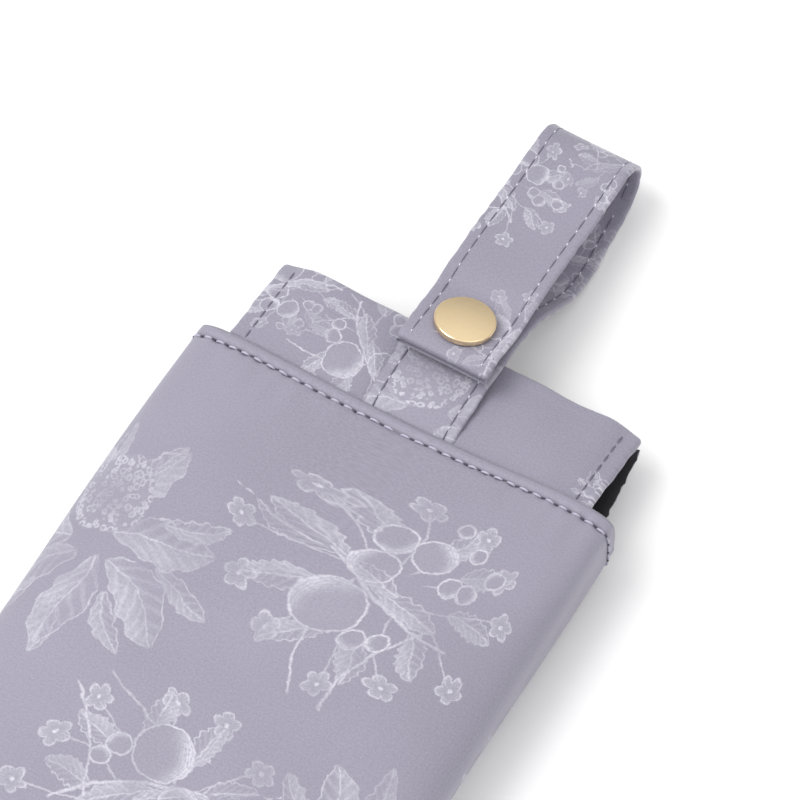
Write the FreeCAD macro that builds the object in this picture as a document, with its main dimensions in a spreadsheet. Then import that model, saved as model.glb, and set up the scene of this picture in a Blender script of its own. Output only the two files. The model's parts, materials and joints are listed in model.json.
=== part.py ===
import FreeCAD, Part
import math
import os
import Sketcher

# Flat folding umbrella in its fabric slip case, lying on its back, in millimetres.
# X runs across the case, +Y towards the mouth and hanging strap, +Z up from the surface.
# Stations along the case are given as "back": the distance from the mouth seam to the closed end.

doc = FreeCAD.newDocument("FoldingUmbrella")
sheet = doc.addObject("Spreadsheet::Sheet", "Sizes")

SIZES = [
    ("seam_y", 97.5, "mouth seam, from the middle of the whole object"),
    ("case_length", 270.0, "mouth seam to closed end"),
    ("case_width", 95.0, "over the side seams"),
    ("case_depth", 28.0, "filled thickness"),
    ("mouth_width", 94.0, "at the mouth seam"),
    ("mouth_top", 18.3, "front panel's edge above the surface"),
    ("mouth_bottom", 2.4, "back panel's edge above the surface"),
    ("jaw_length", 60.0, "front panel that lifts at the mouth"),
    ("back_rise", 30.0, "run over which the back panel lifts to the mouth"),
    ("rest_shave", 0.12, "flat worn where the back panel lies on the surface"),
    ("end_run", 30.0, "run over which the closed end tapers"),
    ("end_half", 2.0, "half depth left at the closed end"),
    ("end_width", 91.0, "width at the closed end"),
    ("cloth", 0.8, "printed cloth"),
    ("cloth_gap", 0.12, "air between cloth and lining"),
    ("lining", 0.5, "lining cloth"),
    ("seam_gap", 0.15, "half gap between front and back panels at the side seam"),
    ("jaw_gap", 0.3, "gap behind the lifting panel"),
    ("binding", 2.6, "closed end's bound seam, along the case"),
    ("binding_depth", 3.2, "closed end's bound seam, thickness"),
    ("band_length", 22.5, "mouth bands, past the seam"),
    ("band_tuck", 3.0, "front band, under the panel's edge"),
    ("front_band_width", 81.5, "front mouth band"),
    ("back_band_width", 86.0, "back mouth band"),
    ("front_band_start", 17.2, "front band's top face at its tucked end"),
    ("front_band_tip", 13.6, "front band's top face at its free end"),
    ("front_band_arch", 1.5, "rise of the front band's middle over its ends"),
    ("back_band_start", 3.35, "back band's lower face at its tucked end"),
    ("back_band_tip", 3.0, "back band's lower face at its free end"),
    ("back_band_arch", 0.4, "sag of the back band's middle"),
    ("strip", 0.3, "spring steel strip, thickness"),
    ("strip_width", 72.0, "spring steel strip, length across the mouth"),
    ("strip_reach", 14.0, "spring steel strip, its width along the case"),
    ("strip_start", 4.0, "spring steel strip, past the seam"),
    ("strap_width", 20.3, "hanging strap"),
    ("strap_cloth", 1.3, "hanging strap, two plies"),
    ("strap_start", 0.3, "strap leaves the seam"),
    ("strap_slope", 4.5, "strap and snap lean on the band, degrees"),
    ("snap_ahead", 22.5, "snap's axis on the strap, past the seam"),
    ("snap_height", 15.9, "strap's middle height at the snap"),
    ("snap_stack", 4.6, "lower ply's middle to upper ply's middle"),
    ("loop_end", 77.0, "strap's middle at the far bend, past the seam"),
    ("loop_radius", 7.5, "far bend"),
    ("bend_split", 0.6, "half gap between the strap's two pieces at the far bend, degrees"),
    ("loop_low", 0.95, "lower ply's middle where it lies on the surface"),
    ("flap_end", 13.5, "flap's free end, past the seam"),
    ("hem_reach", 3.6, "flap's folded hem"),
    ("hem_cloth", 1.0, "flap's folded ply"),
    ("cap_radius", 6.3, "snap cap"),
    ("cap_rim", 0.8, "snap cap's rolled rim height"),
    ("cap_dome", 1.2, "snap cap's dome above the rim"),
    ("stem_radius", 1.0, "snap stems"),
    ("stem_room", 1.25, "holes in the strap for the stems"),
    ("ply_gap", 0.02, "metal to cloth"),
    ("flange_radius", 5.8, "snap post flange"),
    ("flange", 0.8, "snap post flange thickness"),
    ("plate", 0.6, "snap stud and socket plates"),
    ("stud_radius", 4.5, "snap stud plate"),
    ("knob_radius", 2.0, "snap stud knob"),
    ("knob_height", 1.65, "snap stud knob above its plate"),
    ("socket_radius", 5.2, "snap socket"),
    ("socket_bore", 2.25, "snap socket bore"),
    ("socket_depth", 2.3, "snap socket height"),
    ("nose_back", 30.0, "umbrella's nose behind the mouth seam"),
    ("lean", 1.0, "umbrella's axis rises towards the mouth, degrees"),
    ("axis_height", 13.7, "umbrella's axis above the surface at its middle"),
    ("axis_middle", 137.0, "nose to the umbrella's middle"),
    ("handle_drop", 2.5, "handle's axis below the shaft's axis"),
    ("handle_width", 44.0, "flat handle"),
    ("handle_depth", 12.5, "flat handle"),
    ("handle_length", 42.0, "flat handle's grip"),
    ("nose_length", 8.0, "handle's end cap"),
    ("nose_round", 5.0, "handle's end cap rounding"),
    ("joint_gap", 0.1, "between stacked pieces of the umbrella"),
    ("collar_radius", 5.6, "collar between handle and shaft"),
    ("collar_length", 4.0, "collar between handle and shaft"),
    ("shaft_wall", 0.5, "shaft tubes"),
    ("shaft_outer", 5.0, "outer shaft tube radius"),
    ("shaft_step", 0.6, "each inner shaft tube is this much smaller in radius"),
    ("shaft_length", 158.0, "closed shaft"),
    ("runner_radius", 7.0, "runner"),
    ("runner_length", 16.0, "runner"),
    ("runner_back", 64.0, "runner behind the nose"),
    ("sleeve_room", 0.1, "runner and crown over the shaft"),
    ("crown_radius", 7.0, "crown that holds the ribs"),
    ("crown_length", 7.0, "crown that holds the ribs"),
    ("crown_back", 200.0, "crown behind the nose"),
    ("ferrule_radius", 5.0, "top ferrule"),
    ("ferrule_length", 5.0, "top ferrule"),
    ("canopy_back", 54.0, "folded canopy behind the nose"),
    ("canopy_length", 160.0, "folded canopy"),
    ("canopy_width", 60.0, "folded canopy"),
    ("canopy_depth", 17.4, "folded canopy"),
    ("canopy_cloth", 1.6, "folded canopy's packed cloth"),
    ("band_cloth", 0.7, "closure band around the canopy"),
    ("band_room", 0.1, "closure band over the canopy"),
    ("band_reach", 18.0, "closure band's width"),
    ("band_back", 98.0, "closure band behind the nose"),
    ("tab_length", 22.0, "closure tab across the band"),
    ("tab_reach", 14.0, "closure tab along the case"),
    ("tab_cloth", 0.8, "closure tab"),
    ("rib_reach", 128.0, "folded rib segment"),
    ("rib_width", 1.6, "rib channel across"),
    ("rib_depth", 2.6, "rib channel deep"),
    ("rib_pitch", 5.2, "between neighbouring ribs"),
    ("rib_first", 9.4, "first rib from the shaft's axis"),
    ("rib_layer", 3.4, "between the three segments of one rib"),
    ("rib_back", 68.0, "ribs behind the nose"),
    ("rivet_radius", 0.6, "rib rivets"),
    ("rivet_stub", 0.5, "rivet head proud of the rib"),
    ("tip_reach", 3.0, "rib tips"),
]

for row, (alias, value, note) in enumerate(SIZES, start=1):
    sheet.set(f"A{row}", note)
    sheet.set(f"B{row}", str(value))
    sheet.setAlias(f"B{row}", alias)
doc.recompute()

SOFTNESS = 2.6          # power of the superellipse that the filled case's section follows
MOUTH_SOFTNESS = 4.5    # the same at the mouth, where the bands hold it flatter
MOUTH_EASE = 1.6        # power with which the top falls towards the mouth
PARTS = []


def size(alias):
    return float(sheet.get(alias))


def amount(text):
    """Sum of named sizes: 'cloth lining -cloth_gap'."""
    names = text.split()
    return sum(-size(name[1:]) if name[0] == "-" else size(name) for name in names)


def formula(text):
    """The same sum as an expression on the sheet's cells."""
    terms = [("-" if name[0] == "-" else "+") + "Sizes." + name.lstrip("-") for name in text.split()]
    return "".join(terms).lstrip("+")


def ahead_y(ahead):
    """Y of a station that lies past the mouth seam."""
    return size("seam_y") + ahead


def back_y(back):
    """Y of a station behind the mouth seam."""
    return size("seam_y") - back


def keep(obj, label):
    obj.Label = label
    PARTS.append(obj)
    return obj


def keep_shape(label, shape):
    return keep(add_feature(label, shape), label)


def add_feature(name, shape):
    feature = doc.addObject("Part::Feature", name)
    feature.Shape = shape
    return feature


# ---- Filled case: height, width and section at any station ----

def end_factor(back):
    """1 along the case, falling along a quarter ellipse over the closed end."""
    along = (back - size("case_length") + size("end_run")) / size("end_run")
    return math.sqrt(1.0 - min(max(along, 0.0), 1.0) ** 2)


def case_heights(back):
    """Bottom and top of the outer cloth at a station."""
    near = max(0.0, 1.0 - back / size("back_rise"))
    fall = max(0.0, 1.0 - back / size("jaw_length"))
    low = size("mouth_bottom") * near ** 2 - size("rest_shave")
    high = size("case_depth") - (size("case_depth") - size("mouth_top")) * fall ** MOUTH_EASE
    middle = (low + high) / 2.0
    half = size("end_half") + ((high - low) / 2.0 - size("end_half")) * end_factor(back)
    return middle - half, middle + half


def case_half_width(back):
    mouth = size("mouth_width") / 2.0
    body = mouth + (size("case_width") / 2.0 - mouth) * min(1.0, back / size("jaw_length"))
    end = size("end_width") / 2.0
    return end + (body - end) * end_factor(back)


def section_points(back, inset, side, count=15):
    """Half of the case's section, upper for side +1, lower for -1, from +X to -X."""
    low, high = case_heights(back)
    middle = (low + high) / 2.0
    height = (high - low) / 2.0 - inset
    reach = case_half_width(back) - inset
    fall = max(0.0, 1.0 - back / size("jaw_length"))
    softness = SOFTNESS + (MOUTH_SOFTNESS - SOFTNESS) * fall
    start = math.asin((size("seam_gap") / height) ** (softness / 2.0))
    points = []
    for step in range(count):
        angle = start + (math.pi - 2.0 * start) * step / (count - 1)
        across = math.copysign(abs(math.cos(angle)) ** (2.0 / softness), math.cos(angle))
        up = math.sin(angle) ** (2.0 / softness)
        points.append(FreeCAD.Vector(reach * across, back_y(back), middle + side * height * up))
    return points


def curve(points):
    spline = Part.BSplineCurve()
    spline.interpolate(points)
    return spline.toShape()


def ply_wire(outer, inner):
    """Closed outline of one ply of cloth, from its outer and inner curves."""
    inner = list(reversed(inner))
    return Part.Wire([curve(outer), Part.makeLine(outer[-1], inner[0]),
                      curve(inner), Part.makeLine(inner[-1], outer[0])])


def case_ply(label, side, stations, outer_inset, thickness):
    """One ply of a panel, trimmed flat where it lies on the surface."""
    wires = [ply_wire(section_points(back, outer_inset, side),
                      section_points(back, outer_inset + thickness, side)) for back in stations]
    ply = Part.makeLoft(wires, True, True)
    if ply.BoundBox.ZMin < 0.0:
        width, length = 2.0 * size("case_width"), 2.0 * size("case_length")
        below = Part.makeBox(width, length, 1.0, FreeCAD.Vector(-width / 2.0, -length / 2.0, -1.0))
        ply = ply.cut(below)
    return keep_shape(label, ply)


def end_stations(first):
    """Stations from a first one to the closed end, closer together where it tapers."""
    body_end = size("case_length") - size("end_run")
    taper = [body_end + size("end_run") * math.sin(math.radians(turn)) for turn in (15, 35, 55, 72, 90)]
    return [first, (first + body_end) / 2.0, body_end] + taper


def mouth_stations(last, tuck=0.0):
    return [tuck + (last - tuck) * step / 8.0 for step in range(9)]


def build_case_cloth():
    cloth = size("cloth")
    inside = amount("cloth cloth_gap")
    lining = size("lining")
    jaw = size("jaw_length")
    behind_jaw = amount("jaw_length jaw_gap")
    tuck = amount("band_tuck jaw_gap")
    case_ply("back_panel", -1, mouth_stations(jaw) + end_stations(behind_jaw), 0.0, cloth)
    case_ply("front_panel_lower", 1, end_stations(behind_jaw), 0.0, cloth)
    case_ply("front_panel_upper", 1, mouth_stations(jaw), 0.0, cloth)
    case_ply("back_lining", -1, mouth_stations(jaw, tuck) + end_stations(behind_jaw), inside, lining)
    case_ply("front_lining_lower", 1, end_stations(behind_jaw), inside, lining)
    case_ply("front_lining_upper", 1, mouth_stations(jaw, tuck), inside, lining)


def build_end_binding():
    bar = doc.addObject("Part::Box", "EndBindingBar")
    bar.setExpression("Length", "Sizes.end_width - 4 * Sizes.end_half")
    bar.setExpression("Width", "Sizes.binding")
    bar.setExpression("Height", "Sizes.binding_depth")
    doc.recompute()
    low, high = case_heights(size("case_length"))
    bar.Placement.Base = FreeCAD.Vector(-bar.Length.Value / 2.0,
                                        back_y(size("case_length")) - size("binding") - 0.05,
                                        (low + high - size("binding_depth")) / 2.0)
    rounded = doc.addObject("Part::Fillet", "EndBinding")
    rounded.Base = bar
    along_x = [number for number, edge in enumerate(bar.Shape.Edges, start=1)
               if abs(edge.Vertexes[0].X - edge.Vertexes[1].X) > size("binding_depth")]
    radius = size("binding") / 3.0
    rounded.Edges = [(number, radius, radius) for number in along_x]
    bar.Visibility = False
    keep(rounded, "end_binding")


# ---- Mouth bands: each an arched ply stack, cloth outside, spring strip, lining inside ----

def band_height(face, arch, across, ahead, depth):
    """Height on a band at a place, 'depth' into the stack from its outer face."""
    tuck = size("band_tuck")
    along = (ahead + tuck) / (size("band_length") + tuck)
    start, tip = size(face + "_band_start"), size(face + "_band_tip")
    bow = size(face + "_band_arch") * (2.0 * across / size(face + "_band_width")) ** 2
    outward = 1.0 if face == "front" else -1.0
    return start + (tip - start) * along - arch * bow - outward * depth


def band_ply(label, face, width, first, last, depth, thickness):
    arch = 1.0 if face == "front" else -1.0
    wires = []
    for ahead in (first, last):
        rows = []
        for level in (depth, depth + thickness):
            rows.append([FreeCAD.Vector(across, ahead_y(ahead), band_height(face, arch, across, ahead, level))
                         for across in (-width / 2.0, 0.0, width / 2.0)])
        near, far = rows
        wires.append(Part.Wire([Part.Arc(*near).toShape(), Part.makeLine(near[2], far[2]),
                                Part.Arc(far[2], far[1], far[0]).toShape(), Part.makeLine(far[0], near[0])]))
    return keep_shape(label, Part.makeLoft(wires, True, True))


def build_mouth_bands():
    cloth, gap, strip = size("cloth"), size("cloth_gap"), size("strip")
    last = size("band_length")
    starts = {"front": -size("band_tuck"), "back": size("jaw_gap")}
    strip_first = size("strip_start")
    strip_last = amount("strip_start strip_reach")
    lining_depth = cloth + gap + strip + gap
    for face in ("front", "back"):
        width, first = size(face + "_band_width"), starts[face]
        band_ply(face + "_band", face, width, first, last, 0.0, cloth)
        band_ply(face + "_spring_strip", face, size("strip_width"), strip_first, strip_last, cloth + gap, strip)
        band_ply(face + "_band_lining", face, width, first, last, lining_depth, size("lining"))


# ---- Hanging strap: a loop of two-ply tape, doubled back and held by the snap ----

def offset_points(middle, distance):
    """Points beside a middle line in the YZ plane, on its left for a positive distance."""
    places = [FreeCAD.Vector(0, ahead_y(ahead), height) for ahead, height in middle]
    chords = [(after - before).normalize() for before, after in zip(places, places[1:])]
    if len(chords) == 1:
        directions = chords * 2
    else:
        inner = [(before + after).normalize() for before, after in zip(chords, chords[1:])]
        first = (chords[0] * 1.5 - chords[1] * 0.5).normalize()
        last = (chords[-1] * 1.5 - chords[-2] * 0.5).normalize()
        directions = [first] + inner + [last]
    return [place + FreeCAD.Vector(0, -run.z, run.y) * distance for place, run in zip(places, directions)]


def ribbon(middle, thickness, width):
    """A tape of even thickness along a middle line of (ahead, height) points."""
    outline = ply_wire(offset_points(middle, thickness / 2.0), offset_points(middle, -thickness / 2.0))
    tape = Part.Face(outline).extrude(FreeCAD.Vector(width, 0, 0))
    tape.translate(FreeCAD.Vector(-width / 2.0, 0, 0))
    return tape


def snap_axis():
    angle = math.radians(size("strap_slope"))
    return FreeCAD.Vector(0, math.sin(angle), math.cos(angle))


def snap_point(level):
    """A point on the snap's axis, 'level' above the lower ply's middle."""
    return FreeCAD.Vector(0, ahead_y(size("snap_ahead")), size("snap_height")) + snap_axis() * level


def slope_height(ahead, level):
    """Height of the straight, sloping part of a ply."""
    point = snap_point(level)
    return point.z - math.tan(math.radians(size("strap_slope"))) * (ahead_y(ahead) - point.y)


def stem_hole(level):
    reach = 3.0 * size("strap_cloth")
    return Part.makeCylinder(size("stem_room"), 2.0 * reach, snap_point(level) - snap_axis() * reach, snap_axis())


def bend_points(first_turn, last_turn, steps=4):
    """Middle line of the far bend, between two turns in degrees from straight ahead."""
    radius = size("loop_radius")
    centre = (size("loop_end") - radius, size("loop_low") + radius)
    turns = [math.radians(first_turn + (last_turn - first_turn) * step / steps) for step in range(steps + 1)]
    return [(centre[0] + radius * math.cos(turn), centre[1] + radius * math.sin(turn)) for turn in turns]


def build_strap():
    thickness, width = size("strap_cloth"), size("strap_width")
    split = size("bend_split")
    lower = [(ahead, slope_height(ahead, 0.0)) for ahead in (size("strap_start"), 8.0, 14.0, 20.0, 26.0, 30.0)]
    lower += [(36.5, 12.3), (42.0, 8.0), (48.0, 4.2), (55.0, 1.8), (62.0, 1.05)] + bend_points(-90, -split)
    stack = size("snap_stack")
    upper = bend_points(split, 90) + [(62.0, 16.3), (55.0, 17.0), (48.0, 18.0), (41.0, 18.9)]
    upper += [(ahead, slope_height(ahead, stack)) for ahead in (33.0, 29.0, 24.0, 19.0, size("flap_end"))]
    keep_shape("strap_base", ribbon(lower, thickness, width).cut(stem_hole(0.0)))
    fold_level = stack - (thickness + size("hem_cloth")) / 2.0 + size("ply_gap")
    hem = [(ahead, slope_height(ahead, fold_level))
           for ahead in (size("flap_end"), amount("flap_end hem_reach"))]
    flap = ribbon(upper, thickness, width).fuse(ribbon(hem, size("hem_cloth"), width))
    keep_shape("strap_flap", flap.cut(stem_hole(stack)))


# ---- Turned pieces: a bound half-section revolved about the local Z axis ----

def origin_plane(body, role):
    return next(feature for feature in body.Origin.OriginFeatures if feature.Role == role)


def attach_sketch(body, role):
    sketch = body.newObject("Sketcher::SketchObject", body.Name + "Sketch")
    sketch.AttachmentSupport = (origin_plane(body, role), [""])
    sketch.MapMode = "FlatFace"
    return sketch


def bind_corner(sketch, line, axis, text):
    """Hold a line's first point at a named distance from the sketch's origin."""
    if text == "0":
        sketch.addConstraint(Sketcher.Constraint("PointOnObject", line, 1, -2 if axis == "X" else -1))
        return
    index = sketch.addConstraint(Sketcher.Constraint("Distance" + axis, -1, 1, line, 1, amount(text)))
    sketch.setExpression(f"Constraints[{index}]", formula(text))


def turned(label, corners, placement):
    """A turned piece; each corner names its radius and its height."""
    body = doc.addObject("PartDesign::Body", label.title().replace("_", ""))
    sketch = attach_sketch(body, "XZ_Plane")
    values = [tuple(0.0 if text == "0" else amount(text) for text in corner) for corner in corners]
    count = len(corners)
    for index in range(count):
        first, second = values[index], values[(index + 1) % count]
        sketch.addGeometry(Part.LineSegment(FreeCAD.Vector(*first, 0), FreeCAD.Vector(*second, 0)), False)
    for index in range(count):
        sketch.addConstraint(Sketcher.Constraint("Coincident", index, 2, (index + 1) % count, 1))
    for index, (radius, height) in enumerate(corners):
        bind_corner(sketch, index, "X", radius)
        bind_corner(sketch, index, "Y", height)
    doc.recompute()
    solid = body.newObject("PartDesign::Revolution", body.Name + "Turn")
    solid.Profile = sketch
    solid.ReferenceAxis = (sketch, ["V_Axis"])
    solid.Angle = 360
    body.Placement = placement
    return keep(body, label)


def snap_placement(level):
    turn = FreeCAD.Rotation(FreeCAD.Vector(1, 0, 0), -size("strap_slope"))
    return FreeCAD.Placement(snap_point(level), turn)


def build_snap():
    stack, half_ply = size("snap_stack"), size("strap_cloth") / 2.0
    gap, plate = size("ply_gap"), size("plate")
    cap_foot = stack + half_ply + gap - size("strap_cloth") - plate
    turned("snap_cap", [("0", "0"), ("stem_radius", "0"), ("stem_radius", "strap_cloth plate"),
                        ("cap_radius -ply_gap", "strap_cloth plate"), ("cap_radius", "strap_cloth plate cap_rim"),
                        ("cap_radius -cap_rim", "strap_cloth plate cap_rim cap_rim -ply_gap"),
                        ("stud_radius -cap_rim", "strap_cloth plate cap_rim cap_dome -ply_gap"),
                        ("0", "strap_cloth plate cap_rim cap_dome")], snap_placement(cap_foot))
    socket_foot = stack - half_ply - gap - size("socket_depth")
    turned("snap_socket", [("socket_bore", "0"), ("socket_radius", "0"), ("socket_radius", "socket_depth"),
                           ("stem_room", "socket_depth"), ("stem_room", "socket_depth -plate"),
                           ("socket_bore", "socket_depth -plate")], snap_placement(socket_foot))
    turned("snap_stud", [("stem_room", "0"), ("stud_radius", "0"), ("stud_radius", "plate"),
                         ("knob_radius", "plate"), ("knob_radius", "plate knob_height"),
                         ("0", "plate knob_height"), ("0", "flange plate"), ("stem_room", "flange plate")],
           snap_placement(half_ply + gap))
    post_foot = -half_ply - gap - size("flange")
    turned("snap_post", [("0", "0"), ("flange_radius -cap_rim", "0"), ("flange_radius", "flange"),
                         ("stem_radius", "flange"), ("stem_radius", "flange strap_cloth plate"),
                         ("0", "flange strap_cloth plate")], snap_placement(post_foot))


# ---- Umbrella, in its own frame: local +Z runs from the nose back to the ferrule ----

def umbrella_placement(behind, across=0.0, up=0.0, flat=False):
    """A place on the umbrella: 'behind' its nose, beside and above the shaft's axis."""
    lean = FreeCAD.Rotation(FreeCAD.Vector(1, 0, 0), size("lean"))
    middle = FreeCAD.Vector(0, back_y(amount("nose_back axis_middle")), size("axis_height"))
    offset = lean.multVec(FreeCAD.Vector(across, size("axis_middle") - behind, up))
    turn = FreeCAD.Rotation() if flat else FreeCAD.Rotation(FreeCAD.Vector(1, 0, 0), 90)
    return FreeCAD.Placement(middle + offset, lean.multiply(turn))


def tube(label, outer, inner, length, behind):
    return turned(label, [(inner, "0"), (outer, "0"), (outer, length), (inner, length)],
                  umbrella_placement(behind))


def add_stadium(sketch, width, depth):
    """A bound flat oval: width across, depth up, with half-round ends."""
    straight = (amount(width) - amount(depth)) / 2.0
    radius = amount(depth) / 2.0
    first = sketch.GeometryCount
    right, left = FreeCAD.Vector(straight, 0, 0), FreeCAD.Vector(-straight, 0, 0)
    up, normal = FreeCAD.Vector(0, radius, 0), FreeCAD.Vector(0, 0, 1)
    quarter = math.pi / 2.0
    sketch.addGeometry(Part.LineSegment(right + up, left + up), False)
    sketch.addGeometry(Part.ArcOfCircle(Part.Circle(left, normal, radius), quarter, 3 * quarter), False)
    sketch.addGeometry(Part.LineSegment(left - up, right - up), False)
    sketch.addGeometry(Part.ArcOfCircle(Part.Circle(right, normal, radius), -quarter, quarter), False)
    joints = [(0, 2, 1, 1), (1, 2, 2, 1), (2, 2, 3, 1), (3, 2, 0, 1)]
    for one, end, other, start in joints:
        sketch.addConstraint(Sketcher.Constraint("Coincident", first + one, end, first + other, start))
    half_run = f"({formula(width)} - ({formula(depth)})) / 2"
    half_depth = f"({formula(depth)}) / 2"
    holds = [("DistanceX", (-1, 1, first, 1), straight, half_run), ("DistanceY", (-1, 1, first, 1), radius, half_depth),
             ("DistanceX", (first, 2, -1, 1), straight, half_run), ("DistanceY", (-1, 1, first, 2), radius, half_depth),
             ("DistanceX", (first + 2, 1, -1, 1), straight, half_run),
             ("DistanceY", (first + 2, 1, -1, 1), radius, half_depth),
             ("DistanceX", (-1, 1, first + 2, 2), straight, half_run),
             ("DistanceY", (first + 2, 2, -1, 1), radius, half_depth),
             ("DistanceX", (first + 1, 3, -1, 1), straight, half_run),
             ("DistanceX", (-1, 1, first + 3, 3), straight, half_run)]
    for kind, places, value, text in holds:
        index = sketch.addConstraint(Sketcher.Constraint(kind, *places, value))
        sketch.setExpression(f"Constraints[{index}]", text)


def oval(label, outer, length, behind, up, inner=None):
    """A flat oval block, or a tube where an inner oval is given, padded back along the umbrella."""
    body = doc.addObject("PartDesign::Body", label.title().replace("_", ""))
    sketch = attach_sketch(body, "XZ_Plane")
    add_stadium(sketch, *outer)
    if inner:
        add_stadium(sketch, *inner)
    pad = body.newObject("PartDesign::Pad", body.Name + "Pad")
    pad.Profile = sketch
    pad.setExpression("Length", formula(length))
    doc.recompute()
    body.Placement = umbrella_placement(behind, up=up, flat=True)
    return keep(body, label)


def round_front(body, alias):
    """Round the edge of a padded block's front face."""
    pad = body.Tip
    front = [f"Edge{number}" for number, edge in enumerate(pad.Shape.Edges, start=1)
             if max(abs(vertex.Y) for vertex in edge.Vertexes) < 1e-6]
    fillet = body.newObject("PartDesign::Fillet", body.Name + "Round")
    fillet.Base = (pad, front)
    fillet.setExpression("Radius", "Sizes." + alias)


def build_handle():
    drop = -size("handle_drop")
    gap = size("joint_gap")
    cap = oval("handle_end_cap", ("handle_width", "handle_depth"), "nose_length", 0.0, drop)
    round_front(cap, "nose_round")
    oval("handle_grip", ("handle_width", "handle_depth"), "handle_length", size("nose_length") + gap, drop)
    collar_behind = amount("nose_length handle_length") + 2 * gap
    tube("shaft_collar", "collar_radius", "shaft_outer -shaft_wall", "collar_length", collar_behind)


def build_shaft():
    behind = amount("nose_length handle_length collar_length") + 3 * size("joint_gap")
    names = ("shaft_outer_tube", "shaft_middle_tube", "shaft_inner_tube")
    for index, name in enumerate(names):
        outer = "shaft_outer" + " -shaft_step" * index
        tube(name, outer, outer + " -shaft_wall", "shaft_length", behind)
    tube("runner", "runner_radius", "shaft_outer sleeve_room", "runner_length", size("runner_back"))
    tube("crown", "crown_radius", "shaft_outer sleeve_room", "crown_length", size("crown_back"))
    ferrule_behind = behind + amount("shaft_length joint_gap")
    turned("top_ferrule", [("0", "0"), ("ferrule_radius", "0"), ("ferrule_radius -rivet_radius", "ferrule_length"),
                           ("0", "ferrule_length")], umbrella_placement(ferrule_behind))


def rib_places():
    """Each rib's side of the shaft and its distance across: three on each side."""
    for number in range(6):
        side = 1 if number % 2 == 0 else -1
        yield number + 1, side * (size("rib_first") + size("rib_pitch") * (number // 2))


def rib_bar(label, across, up):
    bar = doc.addObject("Part::Box", label.title().replace("_", ""))
    bar.setExpression("Length", "Sizes.rib_width")
    bar.setExpression("Width", "Sizes.rib_reach")
    bar.setExpression("Height", "Sizes.rib_depth")
    corner_behind = amount("rib_back rib_reach")
    bar.Placement = umbrella_placement(corner_behind, across - size("rib_width") / 2.0,
                                       up - size("rib_depth") / 2.0, flat=True)
    keep(bar, label)


def build_ribs():
    layer = size("rib_layer")
    for number, across in rib_places():
        rib_bar(f"inner_rib_{number}", across, layer)
        rib_bar(f"stretcher_{number}", across, 0.0)
        rib_bar(f"outer_rib_{number}", across, -layer)


def small_box(across, behind, up, width, length, height):
    box = Part.makeBox(width, length, height, FreeCAD.Vector(-width / 2.0, -length, -height / 2.0))
    box.Placement = umbrella_placement(behind, across, up, flat=True).multiply(box.Placement)
    return box


def rivet(across, behind):
    """A pin head on each outer face of a rib's stack, as two separate stubs."""
    stub = size("rivet_stub")
    face = size("rib_layer") + size("rib_depth") / 2.0
    stubs = []
    for side in (1, -1):
        place = umbrella_placement(behind, across, side * (face + stub / 2.0), flat=True)
        stubs.append(Part.makeCylinder(size("rivet_radius"), stub,
                                       place.multVec(FreeCAD.Vector(0, 0, -stub / 2.0)),
                                       place.Rotation.multVec(FreeCAD.Vector(0, 0, 1))))
    return stubs


def build_rib_hardware():
    tip, gap = size("tip_reach"), size("joint_gap")
    tips, rivets = [], []
    for _, across in rib_places():
        tips.append(small_box(across, size("rib_back") - tip - gap, -size("rib_layer"),
                              1.5 * size("rib_width"), tip, size("rib_depth")))
        for share in (0.1, 0.5, 0.9):
            rivets += rivet(across, size("rib_back") + share * size("rib_reach"))
    keep_shape("rib_tips", Part.makeCompound(tips))
    keep_shape("rib_rivets", Part.makeCompound(rivets))


def build_canopy():
    inner = ("canopy_width -canopy_cloth -canopy_cloth", "canopy_depth -canopy_cloth -canopy_cloth")
    oval("canopy", ("canopy_width", "canopy_depth"), "canopy_length", size("canopy_back"), 0.0, inner)
    room = ("canopy_width band_room band_room", "canopy_depth band_room band_room")
    outer = tuple(text + " band_cloth band_cloth" for text in room)
    oval("closure_band", outer, "band_reach", size("band_back"), 0.0, room)
    top = size("canopy_depth") / 2.0 + amount("band_room band_cloth joint_gap") + size("tab_cloth") / 2.0
    tab = small_box(0.0, size("band_back") + (size("band_reach") - size("tab_reach")) / 2.0, top,
                    size("tab_length"), size("tab_reach"), size("tab_cloth"))
    keep_shape("closure_tab", tab)


# ---- Checks and files ----

def check_and_export():
    doc.recompute()
    for obj in doc.Objects:
        if {"Invalid", "Error"} & set(obj.State):
            raise RuntimeError(f"{obj.Label} failed to build")
    os.makedirs("parts", exist_ok=True)
    for part in PARTS:
        shape = part.Shape
        if shape.isNull() or not shape.isValid() or shape.Volume <= 0:
            raise RuntimeError(f"{part.Label} has no valid solid")
        shape.exportStep(f"parts/{part.Label}.step")
        print(f"{part.Label}: {shape.Volume:.0f} mm3, {len(shape.Solids)} solids")


build_case_cloth()
build_end_binding()
build_mouth_bands()
build_strap()
build_snap()
build_handle()
build_shaft()
build_ribs()
build_rib_hardware()
build_canopy()
check_and_export()
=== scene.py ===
import json
import math

import bmesh
import bpy
import numpy as np
from mathutils import Matrix, Vector


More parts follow.
